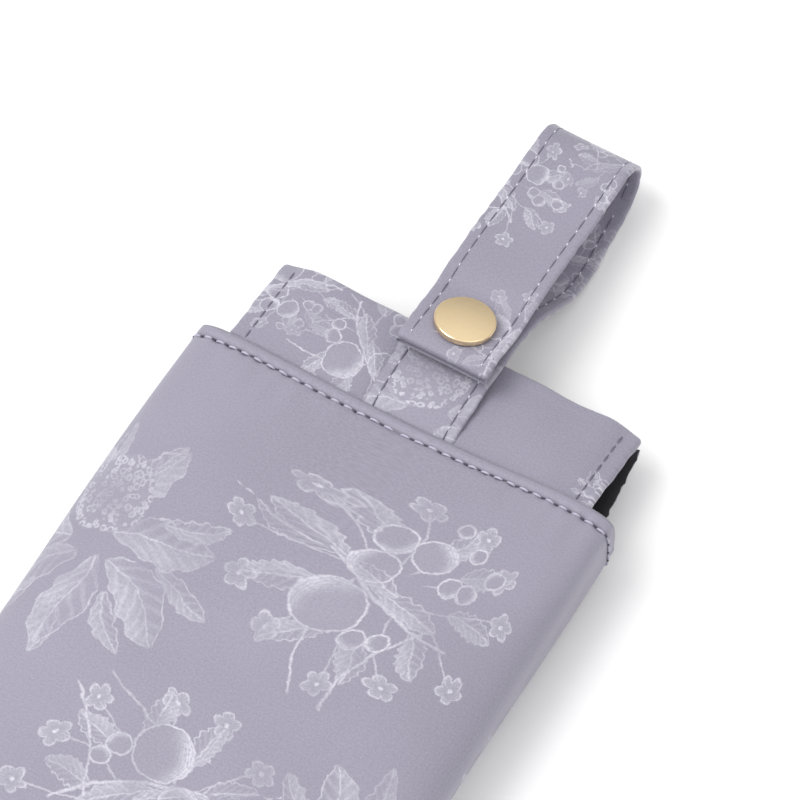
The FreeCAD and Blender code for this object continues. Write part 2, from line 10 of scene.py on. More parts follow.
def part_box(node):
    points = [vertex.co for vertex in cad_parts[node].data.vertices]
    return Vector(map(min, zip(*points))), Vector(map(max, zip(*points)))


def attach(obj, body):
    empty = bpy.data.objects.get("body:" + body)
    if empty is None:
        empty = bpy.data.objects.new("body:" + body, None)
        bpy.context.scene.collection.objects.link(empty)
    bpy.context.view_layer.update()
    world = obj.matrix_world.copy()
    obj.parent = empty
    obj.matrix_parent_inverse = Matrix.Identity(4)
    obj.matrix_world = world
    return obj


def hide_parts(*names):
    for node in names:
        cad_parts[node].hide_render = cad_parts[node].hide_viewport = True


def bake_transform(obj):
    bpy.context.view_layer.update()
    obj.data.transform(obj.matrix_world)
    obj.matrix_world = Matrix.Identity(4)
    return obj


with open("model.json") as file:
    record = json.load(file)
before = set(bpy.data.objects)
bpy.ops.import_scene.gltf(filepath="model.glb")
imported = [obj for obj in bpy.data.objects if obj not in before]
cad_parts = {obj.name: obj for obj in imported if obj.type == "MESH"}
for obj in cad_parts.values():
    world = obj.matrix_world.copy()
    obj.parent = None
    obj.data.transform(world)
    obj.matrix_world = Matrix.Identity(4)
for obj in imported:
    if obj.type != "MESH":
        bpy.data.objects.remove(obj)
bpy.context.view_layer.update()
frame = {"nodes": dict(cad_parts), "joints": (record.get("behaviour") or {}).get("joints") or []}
MM = 0.001
joint_at = {j["name"]: j for j in frame["joints"]}
SEAM_Y = joint_at["strap_swing"]["pos_m"][1] - 0.3 * MM  # where panel, band and strap are sewn together


# ---- Case cloth ----
# Two satin panels sewn at the sides and across the closed end, filled out by the umbrella.
# The mouth edge is turned in, rolled over a cord of seam allowance and topstitched.

def smoothstep(low, high, value):
    """0 below low, 1 above high, 3t^2 - 2t^3 between."""
    share = np.clip((value - low) / (high - low), 0.0, 1.0)
    return share * share * (3.0 - 2.0 * share)


def new_piece(name, points, faces, corner_uv=None, inside=False):
    """A smooth mesh: points that meet are merged, and faces point outwards, or inwards where asked."""
    mesh = bpy.data.meshes.new(name)
    mesh.from_pydata(points.reshape(-1, 3).tolist(), [], faces)
    if corner_uv is not None:
        layer = mesh.uv_layers.new(name="Cloth")
        layer.data.foreach_set("uv", corner_uv.astype(np.float32).ravel())
    mesh.polygons.foreach_set("use_smooth", np.ones(len(faces), bool))
    work = bmesh.new()
    work.from_mesh(mesh)
    bmesh.ops.remove_doubles(work, verts=work.verts, dist=2e-6)
    bmesh.ops.recalc_face_normals(work, faces=work.faces)
    if inside:
        bmesh.ops.reverse_faces(work, faces=work.faces)
    work.to_mesh(mesh)
    work.free()
    piece = bpy.data.objects.new(name, mesh)
    bpy.context.scene.collection.objects.link(piece)
    return piece


def surface(name, points, uv, inside=False):
    """A grid of points, its last column joined to its first, with a UV in metres."""
    index = np.arange(points.shape[0] * points.shape[1]).reshape(points.shape[:2])
    index = np.concatenate([index, index[:, :1]], 1)
    uv = np.concatenate([uv, 2 * uv[:, -1:] - uv[:, -2:-1]], 1)
    index, uv = (np.stack([grid[:-1, :-1], grid[:-1, 1:], grid[1:, 1:], grid[1:, :-1]], 2)
                 for grid in (index, uv))
    return new_piece(name, points, index.reshape(-1, 4).tolist(), uv.reshape(-1, 2), inside)


def placed(piece, material, slot, follow, *nodes):
    """Give a piece its finish, attach it to the body it follows or hand it to a follow function, and hide the
    CAD nodes it stands for.
    """
    piece.data.materials.append(material)
    if callable(follow):
        follow(piece)
    else:
        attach(piece, follow)
    if nodes:
        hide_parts(*nodes)


def waves(x, y, seeds):
    """A sum of slow sines, one for each (wavelength across, wavelength along, phase), about +-1."""
    total = 0.0
    for across, along, phase in seeds:
        total = total + np.sin(2 * math.pi * (x / across + y / along) + phase)
    return total / len(seeds)


CASE_BACK = 270.0  # mouth seam to closed end
END_RUN = 30.0  # taper at the closed end
JAW = 60.0  # front panel that lifts at the mouth
BACK_RISE = 30.0  # back panel that lifts to the mouth
FULL_DEPTH = 28.0
MOUTH_DROP = 9.7  # front panel's edge below the full depth
MOUTH_LIFT = 2.4  # back panel's edge above the surface
END_HALF = (45.5, 2.0)  # half width and half depth left at the closed end
MOUTH_HALF = 47.0
BODY_SPREAD = 0.5  # body wider than the mouth, each side
STITCH_DOWN = 2.9  # topstitch below the rolled edge
TOPSTITCH = 3.2  # stitch pitch


def case_section(back, inset):
    """Half width, middle height, half height and squareness of the case behind the mouth."""
    back = np.asarray(back, float)
    end = np.sqrt(1.0 - np.clip((back - CASE_BACK + END_RUN) / END_RUN, 0, 1) ** 2)
    fall = np.clip(1.0 - back / JAW, 0, 1)
    low = MOUTH_LIFT * np.clip(1.0 - back / BACK_RISE, 0, 1) ** 2
    high = FULL_DEPTH - MOUTH_DROP * fall ** 1.6
    half = END_HALF[1] + ((high - low) / 2.0 - END_HALF[1]) * end - inset
    side = MOUTH_HALF + BODY_SPREAD * np.minimum(1, back / JAW)
    width = END_HALF[0] + (side - END_HALF[0]) * end - inset
    return width, (high + low) / 2.0, np.maximum(half, 0.4), 2.6 + 2.4 * fall


def case_points(back, around, inset):
    """Superellipse section: across = w*sgn(cos)|cos|^(2/n), up = h*sgn(sin)|sin|^(2/n)."""
    width, middle, half, power = case_section(back, inset)
    turn = math.pi / 2.0 - 2.0 * math.pi * around
    cos, sin = np.cos(turn), np.sin(turn)
    across = width[:, None] * np.sign(cos) * np.abs(cos) ** (2.0 / power[:, None])
    up = half[:, None] * np.sign(sin) * np.abs(sin) ** (2.0 / power[:, None])
    return across, middle[:, None] + up


def even_around(count):
    """Turns round the section that space the points evenly on the full body section."""
    fine = np.linspace(0.0, 1.0, 4001)
    across, height = case_points(np.array([100.0]), fine, 0.0)
    run = np.concatenate([[0.0], np.cumsum(np.hypot(np.diff(across[0]), np.diff(height[0])))])
    return np.interp(np.arange(count) / count * run[-1], run, fine), run[-1]


AROUND, GIRTH = even_around(256)


def edge_sag(across):
    """How far the mouth edge's top hangs below its ears: most in the middle, a little to one side."""
    return 1.8 * np.exp(-((across + 5.0) / 22.0) ** 2) - 2.4 * smoothstep(14.0, 42.0, across)


def case_shape(back, inset):
    """Case surface: sagging mouth edge, uneven filling, puckers along the topstitch, side seams."""
    across, height = case_points(back, AROUND, inset)
    station = np.repeat(back[:, None], across.shape[1], 1)
    _, middle, half, _ = case_section(back, inset)
    top = smoothstep(0.0, 0.6, (height - middle[:, None]) / half[:, None])
    near_mouth = np.exp(-(station / 26.0) ** 2)
    height = height - top * near_mouth * edge_sag(across)
    body = 1.0 - np.exp(-(station / 40.0) ** 2)
    swell = waves(across, station, [(88, 150, 0.4), (-61, 97, 1.9), (45, 210, 3.1), (140, -73, 5.0)])
    height = height + top * (0.35 + 0.45 * body) * swell
    sewn = np.exp(-((station - STITCH_DOWN) / 0.75) ** 2)
    pucker = 0.55 + 0.45 * np.cos(2 * math.pi * across / TOPSTITCH)
    loose = np.exp(-((station - 7.0) / 5.0) ** 2)
    ripple = waves(across, station * 0.35, [(7.4, 60, 0.3), (11.3, -47, 2.2), (5.1, 80, 4.0)])
    rolled = np.exp(-((station - 1.2) / 0.9) ** 2)
    height = height + top * (-0.80 * sewn * pucker + 0.24 * loose * ripple + 0.34 * rolled)
    side = np.exp(-((height - middle[:, None] + 1.0) / 0.9) ** 2)
    crease = 0.35 + 0.3 * np.cos(2 * math.pi * station / 9.0 + np.sin(station / 13.0) * 2.0)
    across = across * (1.0 - 0.011 * side * crease)
    return across, station, height


def to_space(across, station, height):
    """Millimetres across, behind the mouth seam and up, as a place in metres."""
    return np.stack([across * MM, SEAM_Y - station * MM, height * MM], -1)


BODY_ROWS = np.concatenate([CASE_BACK - END_RUN * (1 - np.sin(np.linspace(math.pi / 2, 0.05, 16))),
                            np.linspace(238.0, 64.0, 66), np.linspace(62.0, 16.0, 32),
                            np.linspace(15.2, 0.0, 30)])
BODY_ROWS = np.sort(np.unique(np.round(BODY_ROWS, 3)))[::-1]
ROLLED_EDGE = ((0.35, -0.25), (0.95, 0.0), (1.15, 1.2), (1.15, 3.6))  # (inset, station) going inside
end_across, _ = case_points(np.array([CASE_BACK]), AROUND, 0.3)
end_middle = np.full_like(end_across, FULL_DEPTH / 2)
case_rows = [(end_across, np.full_like(end_across, CASE_BACK + 0.4), end_middle), case_shape(BODY_ROWS, 0.0)]
for inset, drop in ROLLED_EDGE:
    ring_across, _, ring_height = case_shape(np.array([max(drop, 0.0)]), inset)
    case_rows.append((ring_across, np.full_like(ring_across, drop), ring_height))
girth_at = (np.arange(len(AROUND)) / len(AROUND) * GIRTH + GIRTH / 2) % GIRTH - GIRTH / 2
order = np.roll(np.arange(len(AROUND)), len(AROUND) // 2)


def case_skin(name, across, station, height, inside=False):
    """A closed skin round the case; its UV starts along the back's middle."""
    uv = np.stack([np.repeat(girth_at[order][None], len(station), 0), station[:, order]], -1) * MM
    return surface(name, to_space(across, station, height)[:, order], uv, inside)


case_cloth = case_skin("case_cloth", *(np.concatenate(part) for part in zip(*case_rows)))


# The engraved print and the satin weave are worked out on the cloth laid flat, in millimetres:
# x across from the front's middle, y back from the mouth.

class Val:
    """A shader socket that can be used in sums; each operation adds a Math node."""

    def __init__(self, graph, socket):
        self.graph, self.socket = graph, socket

    def math(self, operation, *others):
        return self.graph.add("Math", {"operation": operation}, self, *others)

    def __rsub__(self, other):
        return self.graph.add("Math", {"operation": "SUBTRACT"}, other, self)

    def ramp(self, low, high):
        """Smooth 0 to 1 as the value goes from low to high."""
        return self.graph.add("MapRange", {"interpolation_type": "SMOOTHSTEP"},
                              self, low, high, 0.0, 1.0)


def math_method(operation):
    return lambda self, *others: self.math(operation, *others)


for method, operation in {"__add__": "ADD", "__radd__": "ADD", "__sub__": "SUBTRACT", "__mul__": "MULTIPLY",
                          "__rmul__": "MULTIPLY", "__truediv__": "DIVIDE", "__pow__": "POWER",
                          "__lt__": "LESS_THAN", "abs": "ABSOLUTE", "sin": "SINE", "cos": "COSINE",
                          "least": "MINIMUM", "most": "MAXIMUM"}.items():
    setattr(Val, method, math_method(operation))


class Graph:
    """A material's node tree with one method that adds any node."""

    def __init__(self, name):
        self.material = bpy.data.materials.new(name)
        self.material.use_nodes = True
        self.tree = self.material.node_tree
        self.shader = self.tree.nodes["Principled BSDF"]

    def add(self, kind, settings, *inputs, out=0, **named):
        node = self.tree.nodes.new("ShaderNode" + kind)
        for key, value in settings.items():
            setattr(node, key, value)
        sockets = [s for s in node.inputs if s.enabled]
        for socket, value in zip(sockets, inputs):
            self.put(socket, value)
        for key, value in named.items():
            self.put(node.inputs[key], value)
        shown = [s for s in node.outputs if s.enabled]
        return Val(self, shown[out] if isinstance(out, int) else node.outputs[out])

    def put(self, socket, value):
        if isinstance(value, Val):
            self.tree.links.new(value.socket, socket)
        elif value is not None:
            socket.default_value = value

    def split(self, vector):
        node = self.tree.nodes.new("ShaderNodeSeparateXYZ")
        self.put(node.inputs[0], vector)
        return [Val(self, node.outputs[i]) for i in range(3)]

    def mix(self, share, first, second):
        return self.add("Mix", {"data_type": "RGBA"}, share, first, second)

    def shades(self, share, colour, dark, light):
        """A colour that runs from a darker to a lighter shade of itself."""
        return self.mix(share, *(tuple(shade * c for c in colour) + (1.0,) for shade in (dark, light)))

    def body_place(self, stretch=None):
        """The piece's own coordinates in metres, stretched where asked."""
        place = self.add("TexCoord", {}, out="Object")
        return self.add("Mapping", {}, place, Scale=stretch) if stretch else place

    def flat_place(self):
        """The cloth's own coordinates in millimetres, as two values and a vector."""
        uv = self.add("UVMap", {"uv_map": "Cloth"})
        flat = self.add("VectorMath", {"operation": "SCALE"}, uv, Scale=1000.0)
        x, y, _ = self.split(flat)
        return x, y, flat

    def noise(self, place, scale, detail=2.0, rough=0.5, out=0):
        return self.add("TexNoise", {}, place, Scale=scale, Detail=detail, Roughness=rough,
                        out=out)

    def join(self, x, y, z=0.0):
        return self.add("CombineXYZ", {}, x, y, z)

    def finish(self, colour, rough, bump=None, **constants):
        """Link colour, roughness and bump (strength, depth, height), and set constant sockets."""
        self.put(self.shader.inputs["Base Color"], colour)
        self.put(self.shader.inputs["Roughness"], rough)
        if bump:
            strength, depth, height = bump
            self.put(self.shader.inputs["Normal"],
                     self.add("Bump", {}, Strength=strength, Distance=depth, Height=height))
        for name, value in constants.items():
            self.shader.inputs[name.replace("_", " ")].default_value = value
        return self.material


def repeat_round(graph, x, y, count, shift=0.0):
    """Fold the plane into equal sectors; gives the place along and across the nearest sector's middle."""
    radius = graph.add("VectorMath", {"operation": "LENGTH"}, graph.join(x, y), out="Value")
    angle = y.math("ARCTAN2", x) + shift
    step = 2 * math.pi / count
    sector = (angle / step).math("ROUND")
    return radius, angle - sector * step, sector


def lines(value, pitch, sharp=0.5):
    """Engraver's hatching: fine lines across a value, brightest mid-line."""
    wave = (value * (2 * math.pi / pitch)).cos() * 0.5 + 0.5
    return wave.ramp(sharp - 0.35, sharp + 0.35)


def fruit(graph, x, y, place_x, place_y, size, light):
    """A round fruit as (covered area, tone): soft outline, bright cheek, faint round hatching."""
    dx, dy = x - place_x, y - place_y
    far = (dx * dx + dy * dy) ** 0.5
    inside = 1 - far.ramp(size - 0.1, size + 0.25)
    rim = 1 - (far - size + 0.2).abs().ramp(0.05, 0.42)
    toward = dx * math.cos(light) + dy * math.sin(light)
    cheek = toward.ramp(-0.1 * size, 0.8 * size) * far.ramp(0.25 * size, 0.9 * size)
    ball = cheek * (0.62 + 0.34 * lines(far + toward * 0.3, 0.8)) + 0.07
    return inside, rim.most(ball * inside)


def blossom(graph, x, y, size):
    """A small five-petalled flower: lobed outline, shaded petals, dotted heart."""
    radius, off, _ = repeat_round(graph, x, y, 5, 0.4)
    reach = (off * 2.5).cos().abs() ** 0.6 * (0.45 * size) + 0.55 * size
    share = radius / reach
    inside = 1 - share.ramp(0.9, 1.05)
    rim = 1 - (share - 0.9).abs().ramp(0.03, 0.16)
    hatch = lines(off * 57.3, 14.0) * share.ramp(0.3, 0.9)
    return inside * (0.2 + hatch * 0.35).most(rim * 0.8).most(1 - radius.ramp(0.35, 0.7))


def leaf(graph, along, across, length, width, teeth):
    """A leaf from 0 to its length: width*sin(pi*share)^0.8 wide, toothed, with midrib and slanting veins."""
    share = along / length
    lens = (share.most(0.0).least(1.0) * math.pi).sin() ** 0.8
    notch = (along * (2 * math.pi * teeth / length)).sin() * 0.1 + 1.0
    reach = lens * notch * width
    side = across.abs()
    inside = (1 - (side - reach).ramp(-0.2, 0.15)) * share.ramp(0.0, 0.05) * (1 - share.ramp(0.94, 1.0))
    rib = 1 - side.ramp(0.1, 0.34)
    vein = lines(along - side * 1.2, length / 7.0, 0.75)
    rim = 1 - (side - reach + 0.2).abs().ramp(0.05, 0.4)
    shade = across.ramp(-0.5 * width, 0.6 * width)
    return inside * (shade * 0.36 + 0.05 + vein * 0.22).most(rib * 0.75).most(rim * 0.7)


def stem(x, y, start, slope, curve, first, last, width=0.28):
    """A thin curved stalk: the parabola y = start + slope*x + curve*x^2 between two places."""
    off = (y - (x * slope + x * x * curve + start)).abs()
    inside = x.ramp(first, first + 0.8) * (1 - x.ramp(last - 0.8, last))
    return (1 - off.ramp(width * 0.4, width * 1.6)) * inside


def spray_round(graph, x, y, count, shift, seed):
    """Places along and across equal sectors, each bent and shifted a little by its own number."""
    radius, off, sector = repeat_round(graph, x, y, count, shift)
    chance = graph.add("TexWhiteNoise", {"noise_dimensions": "1D"}, W=sector + seed, out="Value")
    across = off * radius + (radius * 0.2 + chance * 6.0).sin() * 1.6
    return radius, across, chance


FRUITS = ((-9.5, -10.0, 3.6, 0.6), (-2.0, -12.0, 4.3, -0.9), (-7.0, -2.5, 4.4, 2.6), (6.0, -9.0, 2.6, 0.5),
          (9.8, -10.5, 2.5, -0.4), (3.5, -18.5, 2.1, 2.0), (-3.5, -20.5, 1.8, 1.0), (11.5, -17.0, 2.4, 3.4),
          (-4.5, 9.5, 6.6, 3.5), (4.5, 12.0, 2.7, 1.2), (8.4, 9.4, 2.3, 2.2))      # x, y, radius, lit side


def fruit_bouquet(graph, x, y):
    """Branches of round fruit over leaves, with small blossoms out on thin stalks; 30 mm in radius."""
    radius, across, chance = spray_round(graph, x, y, 9, 0.3, 3.0)
    pattern = leaf(graph, radius - 10.0 - chance * 3.0, across, 12.0, 2.9, 7.0)
    radius2, across2, chance2 = spray_round(graph, x, y, 11, 1.0, 41.0)
    tip = 21.5 + chance2 * 5.5
    twig = 1 - across2.abs().ramp(0.08, 0.34)
    twig = twig * radius2.ramp(5.0, 8.0) * (1 - (radius2 - tip).ramp(-2.0, 0.0))
    pattern = pattern.most(twig * 0.6).most(blossom(graph, radius2 - tip, across2, 3.3))
    for drop in (stem(y, x, -7.0, 0.1, 0.012, 2.0, 29.0), stem(y, x, 12.0, -0.25, 0.01, 0.0, 27.0),
                 stem(x, y, 3.0, 0.12, -0.012, -14.0, 19.0, 0.36)):
        pattern = pattern.most(drop * 0.85)
    for place_x, place_y, size, light in FRUITS:
        inside, tone = fruit(graph, x, y, place_x, place_y, size, light)
        pattern = (pattern * (1 - inside * 0.9)).most(tone)
    heart = leaf(graph, x + 3.0, y - 1.0 + x * 0.1, 17.0, 2.8, 6.0)
    return pattern.most(heart.most(leaf(graph, 2.0 - x, y + 0.5, 13.0, 2.4, 6.0)))


def seed_head(graph, x, y):
    """A round seed head of tiny rings above a fan of long lobed leaves."""
    radius, across, chance = spray_round(graph, x, y, 7, 0.9, 17.0)
    fan = leaf(graph, radius - 3.5 - chance * 2.0, across, 23.0, 5.4, 4.0)
    radius2, across2, chance2 = spray_round(graph, x, y, 9, 0.2, 77.0)
    pattern = (leaf(graph, radius2 - 12.0 - chance2 * 3.0, across2, 15.0, 2.6, 5.0) * 0.8).most(fan)
    hx, hy = x - 2.0, y + 11.0
    far = (hx * hx + hy * hy) ** 0.5
    cell = graph.add("TexVoronoi", {}, Vector=graph.join(hx, hy), Scale=0.62, Randomness=0.8,
                     out="Distance")
    bead = (1 - (cell - 0.42).abs().ramp(0.02, 0.2)) * (0.45 + far.ramp(2.0, 9.0) * 0.4)
    inside = 1 - (far + cell).ramp(9.6, 10.4)
    return (pattern * (1 - inside)).most(inside * bead.most(0.1))


def nearest_place(graph, x, y, places, repeat=None):
    """Place about the nearest of several (x, y, turn, scale) motifs, tiled where a repeat is given."""
    best = None
    for place_x, place_y, turn, scale in places:
        dx, dy = x - place_x, y - place_y
        if repeat:
            dx = dx.math("WRAP", repeat[0] / 2.0, -repeat[0] / 2.0)
            dy = dy.math("WRAP", repeat[1] / 2.0, -repeat[1] / 2.0)
        dx, dy = dx * (1.0 / scale), dy * (1.0 / scale)
        cos, sin = math.cos(turn), math.sin(turn)
        local = dx * cos + dy * sin, dy * cos - dx * sin
        far = local[0] * local[0] + local[1] * local[1]
        if best is None:
            best = (*local, far)
        else:
            both = graph.add("Mix", {"data_type": "VECTOR"}, far < best[2], graph.join(*best),
                             graph.join(*local, far))
            best = tuple(graph.split(both))
    return best[:2]


def satin(name, ground, ink, motifs, painted_crease_shade, repeat=None):
    """Printed satin: motifs in pale ink, a fine slanting weave, soft blotches, a slight sheen and painted
    shade along seams and creases.
    """
    graph = Graph(name)
    x, y, flat = graph.flat_place()
    weave = lines(x + y * 1.7, 0.42, 0.5)
    speck = graph.noise(flat, 2.2, 3.0, 0.7)
    cloud = graph.noise(flat, 0.03, 2.0)
    tone = speck * 0.6 + cloud * 0.2 + weave * 0.2
    colour = graph.shades(tone.ramp(0.35, 0.65), ground, 0.82, 1.18)
    drift = graph.noise(flat, 0.12, 5.0, 0.7, out="Color")
    drift = graph.add("VectorMath", {"operation": "MULTIPLY_ADD"}, drift, (3.2, 3.2, 0.0),
                      (-1.6, -1.6, 0.0))
    drawn_x, drawn_y, _ = graph.split(graph.add("VectorMath", {"operation": "ADD"}, flat, drift))
    drawings = [drawing(graph, *nearest_place(graph, drawn_x, drawn_y, places, repeat))
                for drawing, places in motifs]
    worn = graph.noise(flat, 1.3, 4.0, 0.75).ramp(0.3, 0.62) * 0.62 + 0.38
    fade = graph.noise(flat, 0.09, 1.0).ramp(0.32, 0.62) * 0.5 + 0.5
    colour = graph.mix((drawings[0].most(drawings[1]) * worn * fade).least(1.0), colour, ink + (1.0,))
    # Painted shade: each line darkens the colour along a seam or crease, where the panel's edge and folds
    # shade the cloth.
    for crease_y, crease_wide, crease_shade_depth in painted_crease_shade:
        off = (y - crease_y + graph.noise(flat, 0.5, 1.0) * 0.3).abs()
        colour = graph.add("VectorMath", {"operation": "SCALE"}, colour,
                           Scale=1 - (1 - off.ramp(0.0, crease_wide)) * crease_shade_depth)
    return graph.finish(colour, 0.50 + speck * 0.12, (0.2, 0.00012, weave * 0.5 + speck * 0.5),
                        Sheen_Weight=0.2, Sheen_Roughness=0.45, Specular_IOR_Level=0.35)


def linear(*rgb):
    """Screen values 0 to 255 as linear light."""
    return tuple(((c / 255.0 + 0.055) / 1.055) ** 2.4 for c in rgb)


GROUND = tuple(0.77 * c for c in linear(163, 159, 176))
INK = tuple(0.80 * c for c in linear(226, 224, 234))
PRINT_REPEAT = (118.0, 132.0)
# The last list paints shade along the mouth's topstitch crease and its rolled edge.
case_satin = satin("printed_satin_case", GROUND, INK,
                   [(fruit_bouquet, [(14, 39, 0.25, 1.0), (0, 101, 2.6, 0.95)]),
                    (seed_head, [(-37, 56, -0.3, 1.0), (43, 98, 0.5, 0.95)])],
                   [(3.0, 0.8, 0.38), (0.3, 0.5, 0.2)], PRINT_REPEAT)


def follow_mouth(piece):
    """Bake the piece's placement into its mesh."""
    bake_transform(piece)


placed(case_cloth, case_satin, "printed_satin", follow_mouth, "back_panel", "front_panel_lower",
       "front_panel_upper")


# ---- Case lining ----
# A near-black woven lining hangs inside the panels from the mouth seam to the closed end.
# It is sewn in with the mouth's topstitch and the closed end's binding.

def weave_cloth(name, colour, pitch=0.35):
    """Plain weave: threads both ways with uneven tone."""
    graph = Graph(name)
    x, y, flat = graph.flat_place()
    over, under = lines(x, pitch), lines(y, pitch)
    grid = over.most(under) * 0.6 + graph.noise(flat, 2.5, 2.0) * 0.4
    return graph.finish(graph.shades(grid, colour, 0.6, 1.5), 0.6 + grid * 0.2, (0.3, 0.0001, grid))


lining_weave = weave_cloth("lining_weave", linear(38, 37, 42))
lining_rows = np.concatenate([np.linspace(CASE_BACK - 3, 64, 40), np.linspace(60, 1.6, 30)])
case_lining = case_skin("case_lining", *case_shape(lining_rows, 1.35), inside=True)
placed(case_lining, lining_weave, "lining_cloth", follow_mouth, "back_lining", "front_lining_lower",
       "front_lining_upper")


# ---- Mouth bands ----
# Each band is a soft casing of the same satin folded over a spring strip, hemmed at both ends,
# lined in black on its inner face and sewn under the panel's rolled edge.

def stadium(count_flat, count_round, half):
    """A flat oval loop: place along its middle line, and the unit normal's two parts."""
    flat = np.linspace(1, -1, count_flat)
    arc = np.linspace(0, math.pi, count_round + 2)[1:-1]
    turned = np.full(count_round, half)
    middle = np.concatenate([flat * half, -turned, -flat * half, turned])
    out_across = np.concatenate([0 * flat, -np.sin(arc), 0 * flat, np.sin(arc)])
    out_up = np.concatenate([0 * flat + 1, np.cos(arc), 0 * flat - 1, -np.cos(arc)])
    return middle, out_across, out_up


def hem_fade(distance, radius):
    """Thickness factor near a folded end: quarter circle over the radius."""
    return np.sqrt(np.clip(1 - (1 - np.clip(distance / radius, 0, 1)) ** 2, 0, 1))


BAND_LENGTH = 22.5
BAND_TUCK = 3.0  # front band's length under the panel's edge
FREE_HEM = 2.0  # last of the band, with closer rows


def front_band_height(across, ahead):
    """Middle of the front band: falls to its free end, ears droop, soft swell and slack ripples."""
    along = np.clip((ahead + BAND_TUCK) / (BAND_LENGTH + BAND_TUCK), 0, 1)
    ear = smoothstep(33.0, 41.0, np.abs(across))
    sag = np.maximum(edge_sag(across), -1.2) * (1 - along)
    fall = 16.3 - 3.3 * along
    swell = 1.1 * np.sin(math.pi * np.clip(ahead / BAND_LENGTH, 0, 1))
    swell = swell * np.exp(-((np.abs(across) - 24.0) / 16.0) ** 2)
    ripple = 0.28 * waves(across, ahead, [(23, 40, 0.5), (-37, 19, 1.4), (15, -60, 2.8)])
    return fall - sag + swell - 2.3 * ear * along + ripple * (1 - 0.5 * ear)


def back_band_height(across, ahead):
    """Middle of the back band: nearly flat, its ends curling up towards the front band."""
    ear = smoothstep(33.0, 43.0, np.abs(across))
    return 4.5 + 2.4 * ear + 0.15 * waves(across, ahead, [(19, 33, 0.2), (-29, 17, 2.1)])


def band_taper(ahead, taper):
    """How much narrower the band is at each station past the seam."""
    return (1 - taper * np.clip(ahead, 0, None) / BAND_LENGTH)[:, None]


def band_piece(name, height_of, half_width, half_thick, first, print_from, shift=0.0, taper=0.0):
    """A casing swept along the band: flat ovals that thin to nothing at the free hem."""
    ahead = np.concatenate([np.linspace(first, BAND_LENGTH - FREE_HEM, 26),
                            BAND_LENGTH - FREE_HEM * (1 - np.sin(np.linspace(0.15, math.pi / 2, 9)))])
    middle, out_across, out_up = stadium(72, 9, half_width - half_thick)
    thick = half_thick * hem_fade(BAND_LENGTH - ahead, 1.1)[:, None]
    hem = 0.10 * np.exp(-((BAND_LENGTH - 3.5 - ahead) / 0.6) ** 2)[:, None]
    side_hem = 0.30 * np.exp(-((np.abs(middle) - half_width + 3.4) / 0.5) ** 2)[None]
    across = (middle[None] + out_across[None] * thick) * band_taper(ahead, taper)
    slack = np.sin(ahead * 1.35 + 0.7) * 0.06 + np.sin(ahead * 0.6 + 1.0) * 0.08
    wavy = slack[:, None] * smoothstep(half_width - 8, half_width, np.abs(across))
    across = across + np.sign(across) * wavy
    place = np.repeat(ahead[:, None], len(middle), 1)
    edge = waves(across, 0 * across, [(31, 1e9, 0.2), (17, 1e9, 1.0)])
    place = place + 0.25 * edge * smoothstep(16, 22, place)
    sewn = np.where(out_up[None] > 0, hem + side_hem, 0) * (thick > 0.5)
    up = height_of(across, place) + out_up[None] * (thick - sewn)
    run = np.where(out_up > -0.5, middle, middle + 400.0)
    uv = np.stack([np.repeat(run[None], len(ahead), 0), place + print_from], -1) * MM
    return surface(name, to_space(across + shift, -place, up), uv)


TRIM_MOTIFS = [(fruit_bouquet, [(-15, 12, 2.2, 0.62), (-35, 17, 0.4, 0.5), (41, 4, 1.0, 0.22),
                                (-30, 214, 3.4, 0.6), (-10, 312, 0.9, 0.55), (8, 297, 2.5, 0.42),
                                (10, 346, 1.6, 0.5), (4, 262, 0.3, 0.5), (0, 120, 0.0, 0.9)]),
               (seed_head, [(2, 206, 3.3, 0.85)])]
# The last list paints shade along the seam ends of the front band, the back band and the strap's base, under
# the panel's rolled edge.
trim_satin = satin("printed_satin_trim", tuple(0.95 * c for c in GROUND), INK, TRIM_MOTIFS,
                   [(0.2, 0.9, 0.5), (60.3, 0.9, 0.4), (203.0, 0.8, 0.5)])
placed(band_piece("front_mouth_band", front_band_height, 40.75, 1.0, -BAND_TUCK, 0.0), trim_satin,
       "printed_satin", "mouth_front", "front_band")
placed(band_piece("back_mouth_band", back_band_height, 41.6, 0.85, 0.2, 60.0, 0.9, 0.05), trim_satin,
       "printed_satin", "case", "back_band")


def band_lining(name, height_of, half_width, face, level, first, short, shift, taper=0.0):
    """The black facing on a band's inner side, a ply that stops short of the free edge."""
    ahead = np.linspace(first, BAND_LENGTH - short, 20)
    middle, out_across, out_up = stadium(60, 5, half_width)
    thick = 0.22 * hem_fade(BAND_LENGTH - short - ahead, 0.3)[:, None]
    across = (middle[None] + out_across[None] * thick) * band_taper(ahead, taper)
    fray = 0.16 * np.sin(ahead * 2.3) + 0.1 * np.sin(ahead * 4.1 + 1.0)
    across = across + fray[:, None] * smoothstep(30, 40, across) + shift
    place = np.repeat(ahead[:, None], len(middle), 1)
    up = height_of(across, place) + face * level + out_up[None] * thick
    uv = np.stack([np.repeat((middle + 200 * (out_up < 0))[None], len(ahead), 0), place], -1) * MM
    return surface(name, to_space(across, -place, up), uv)


placed(band_lining("front_band_facing", front_band_height, 38.3, -1, 1.12, -2.4, 1.6, 0.0), lining_weave,
       "lining_cloth", "mouth_front", "front_band_lining")
placed(band_lining("back_band_facing", back_band_height, 41.2, 1, 0.95, 0.4, 0.4, 1.3, 0.05), lining_weave,
       "lining_cloth", "case", "back_band_lining")


# ---- Mouth springs ----
# A bare flat strip of spring steel lies inside each band's casing, across the mouth.
# It bows with the casing and holds the mouth shut.

STRIP_HALF = 0.15  # half the steel's thickness


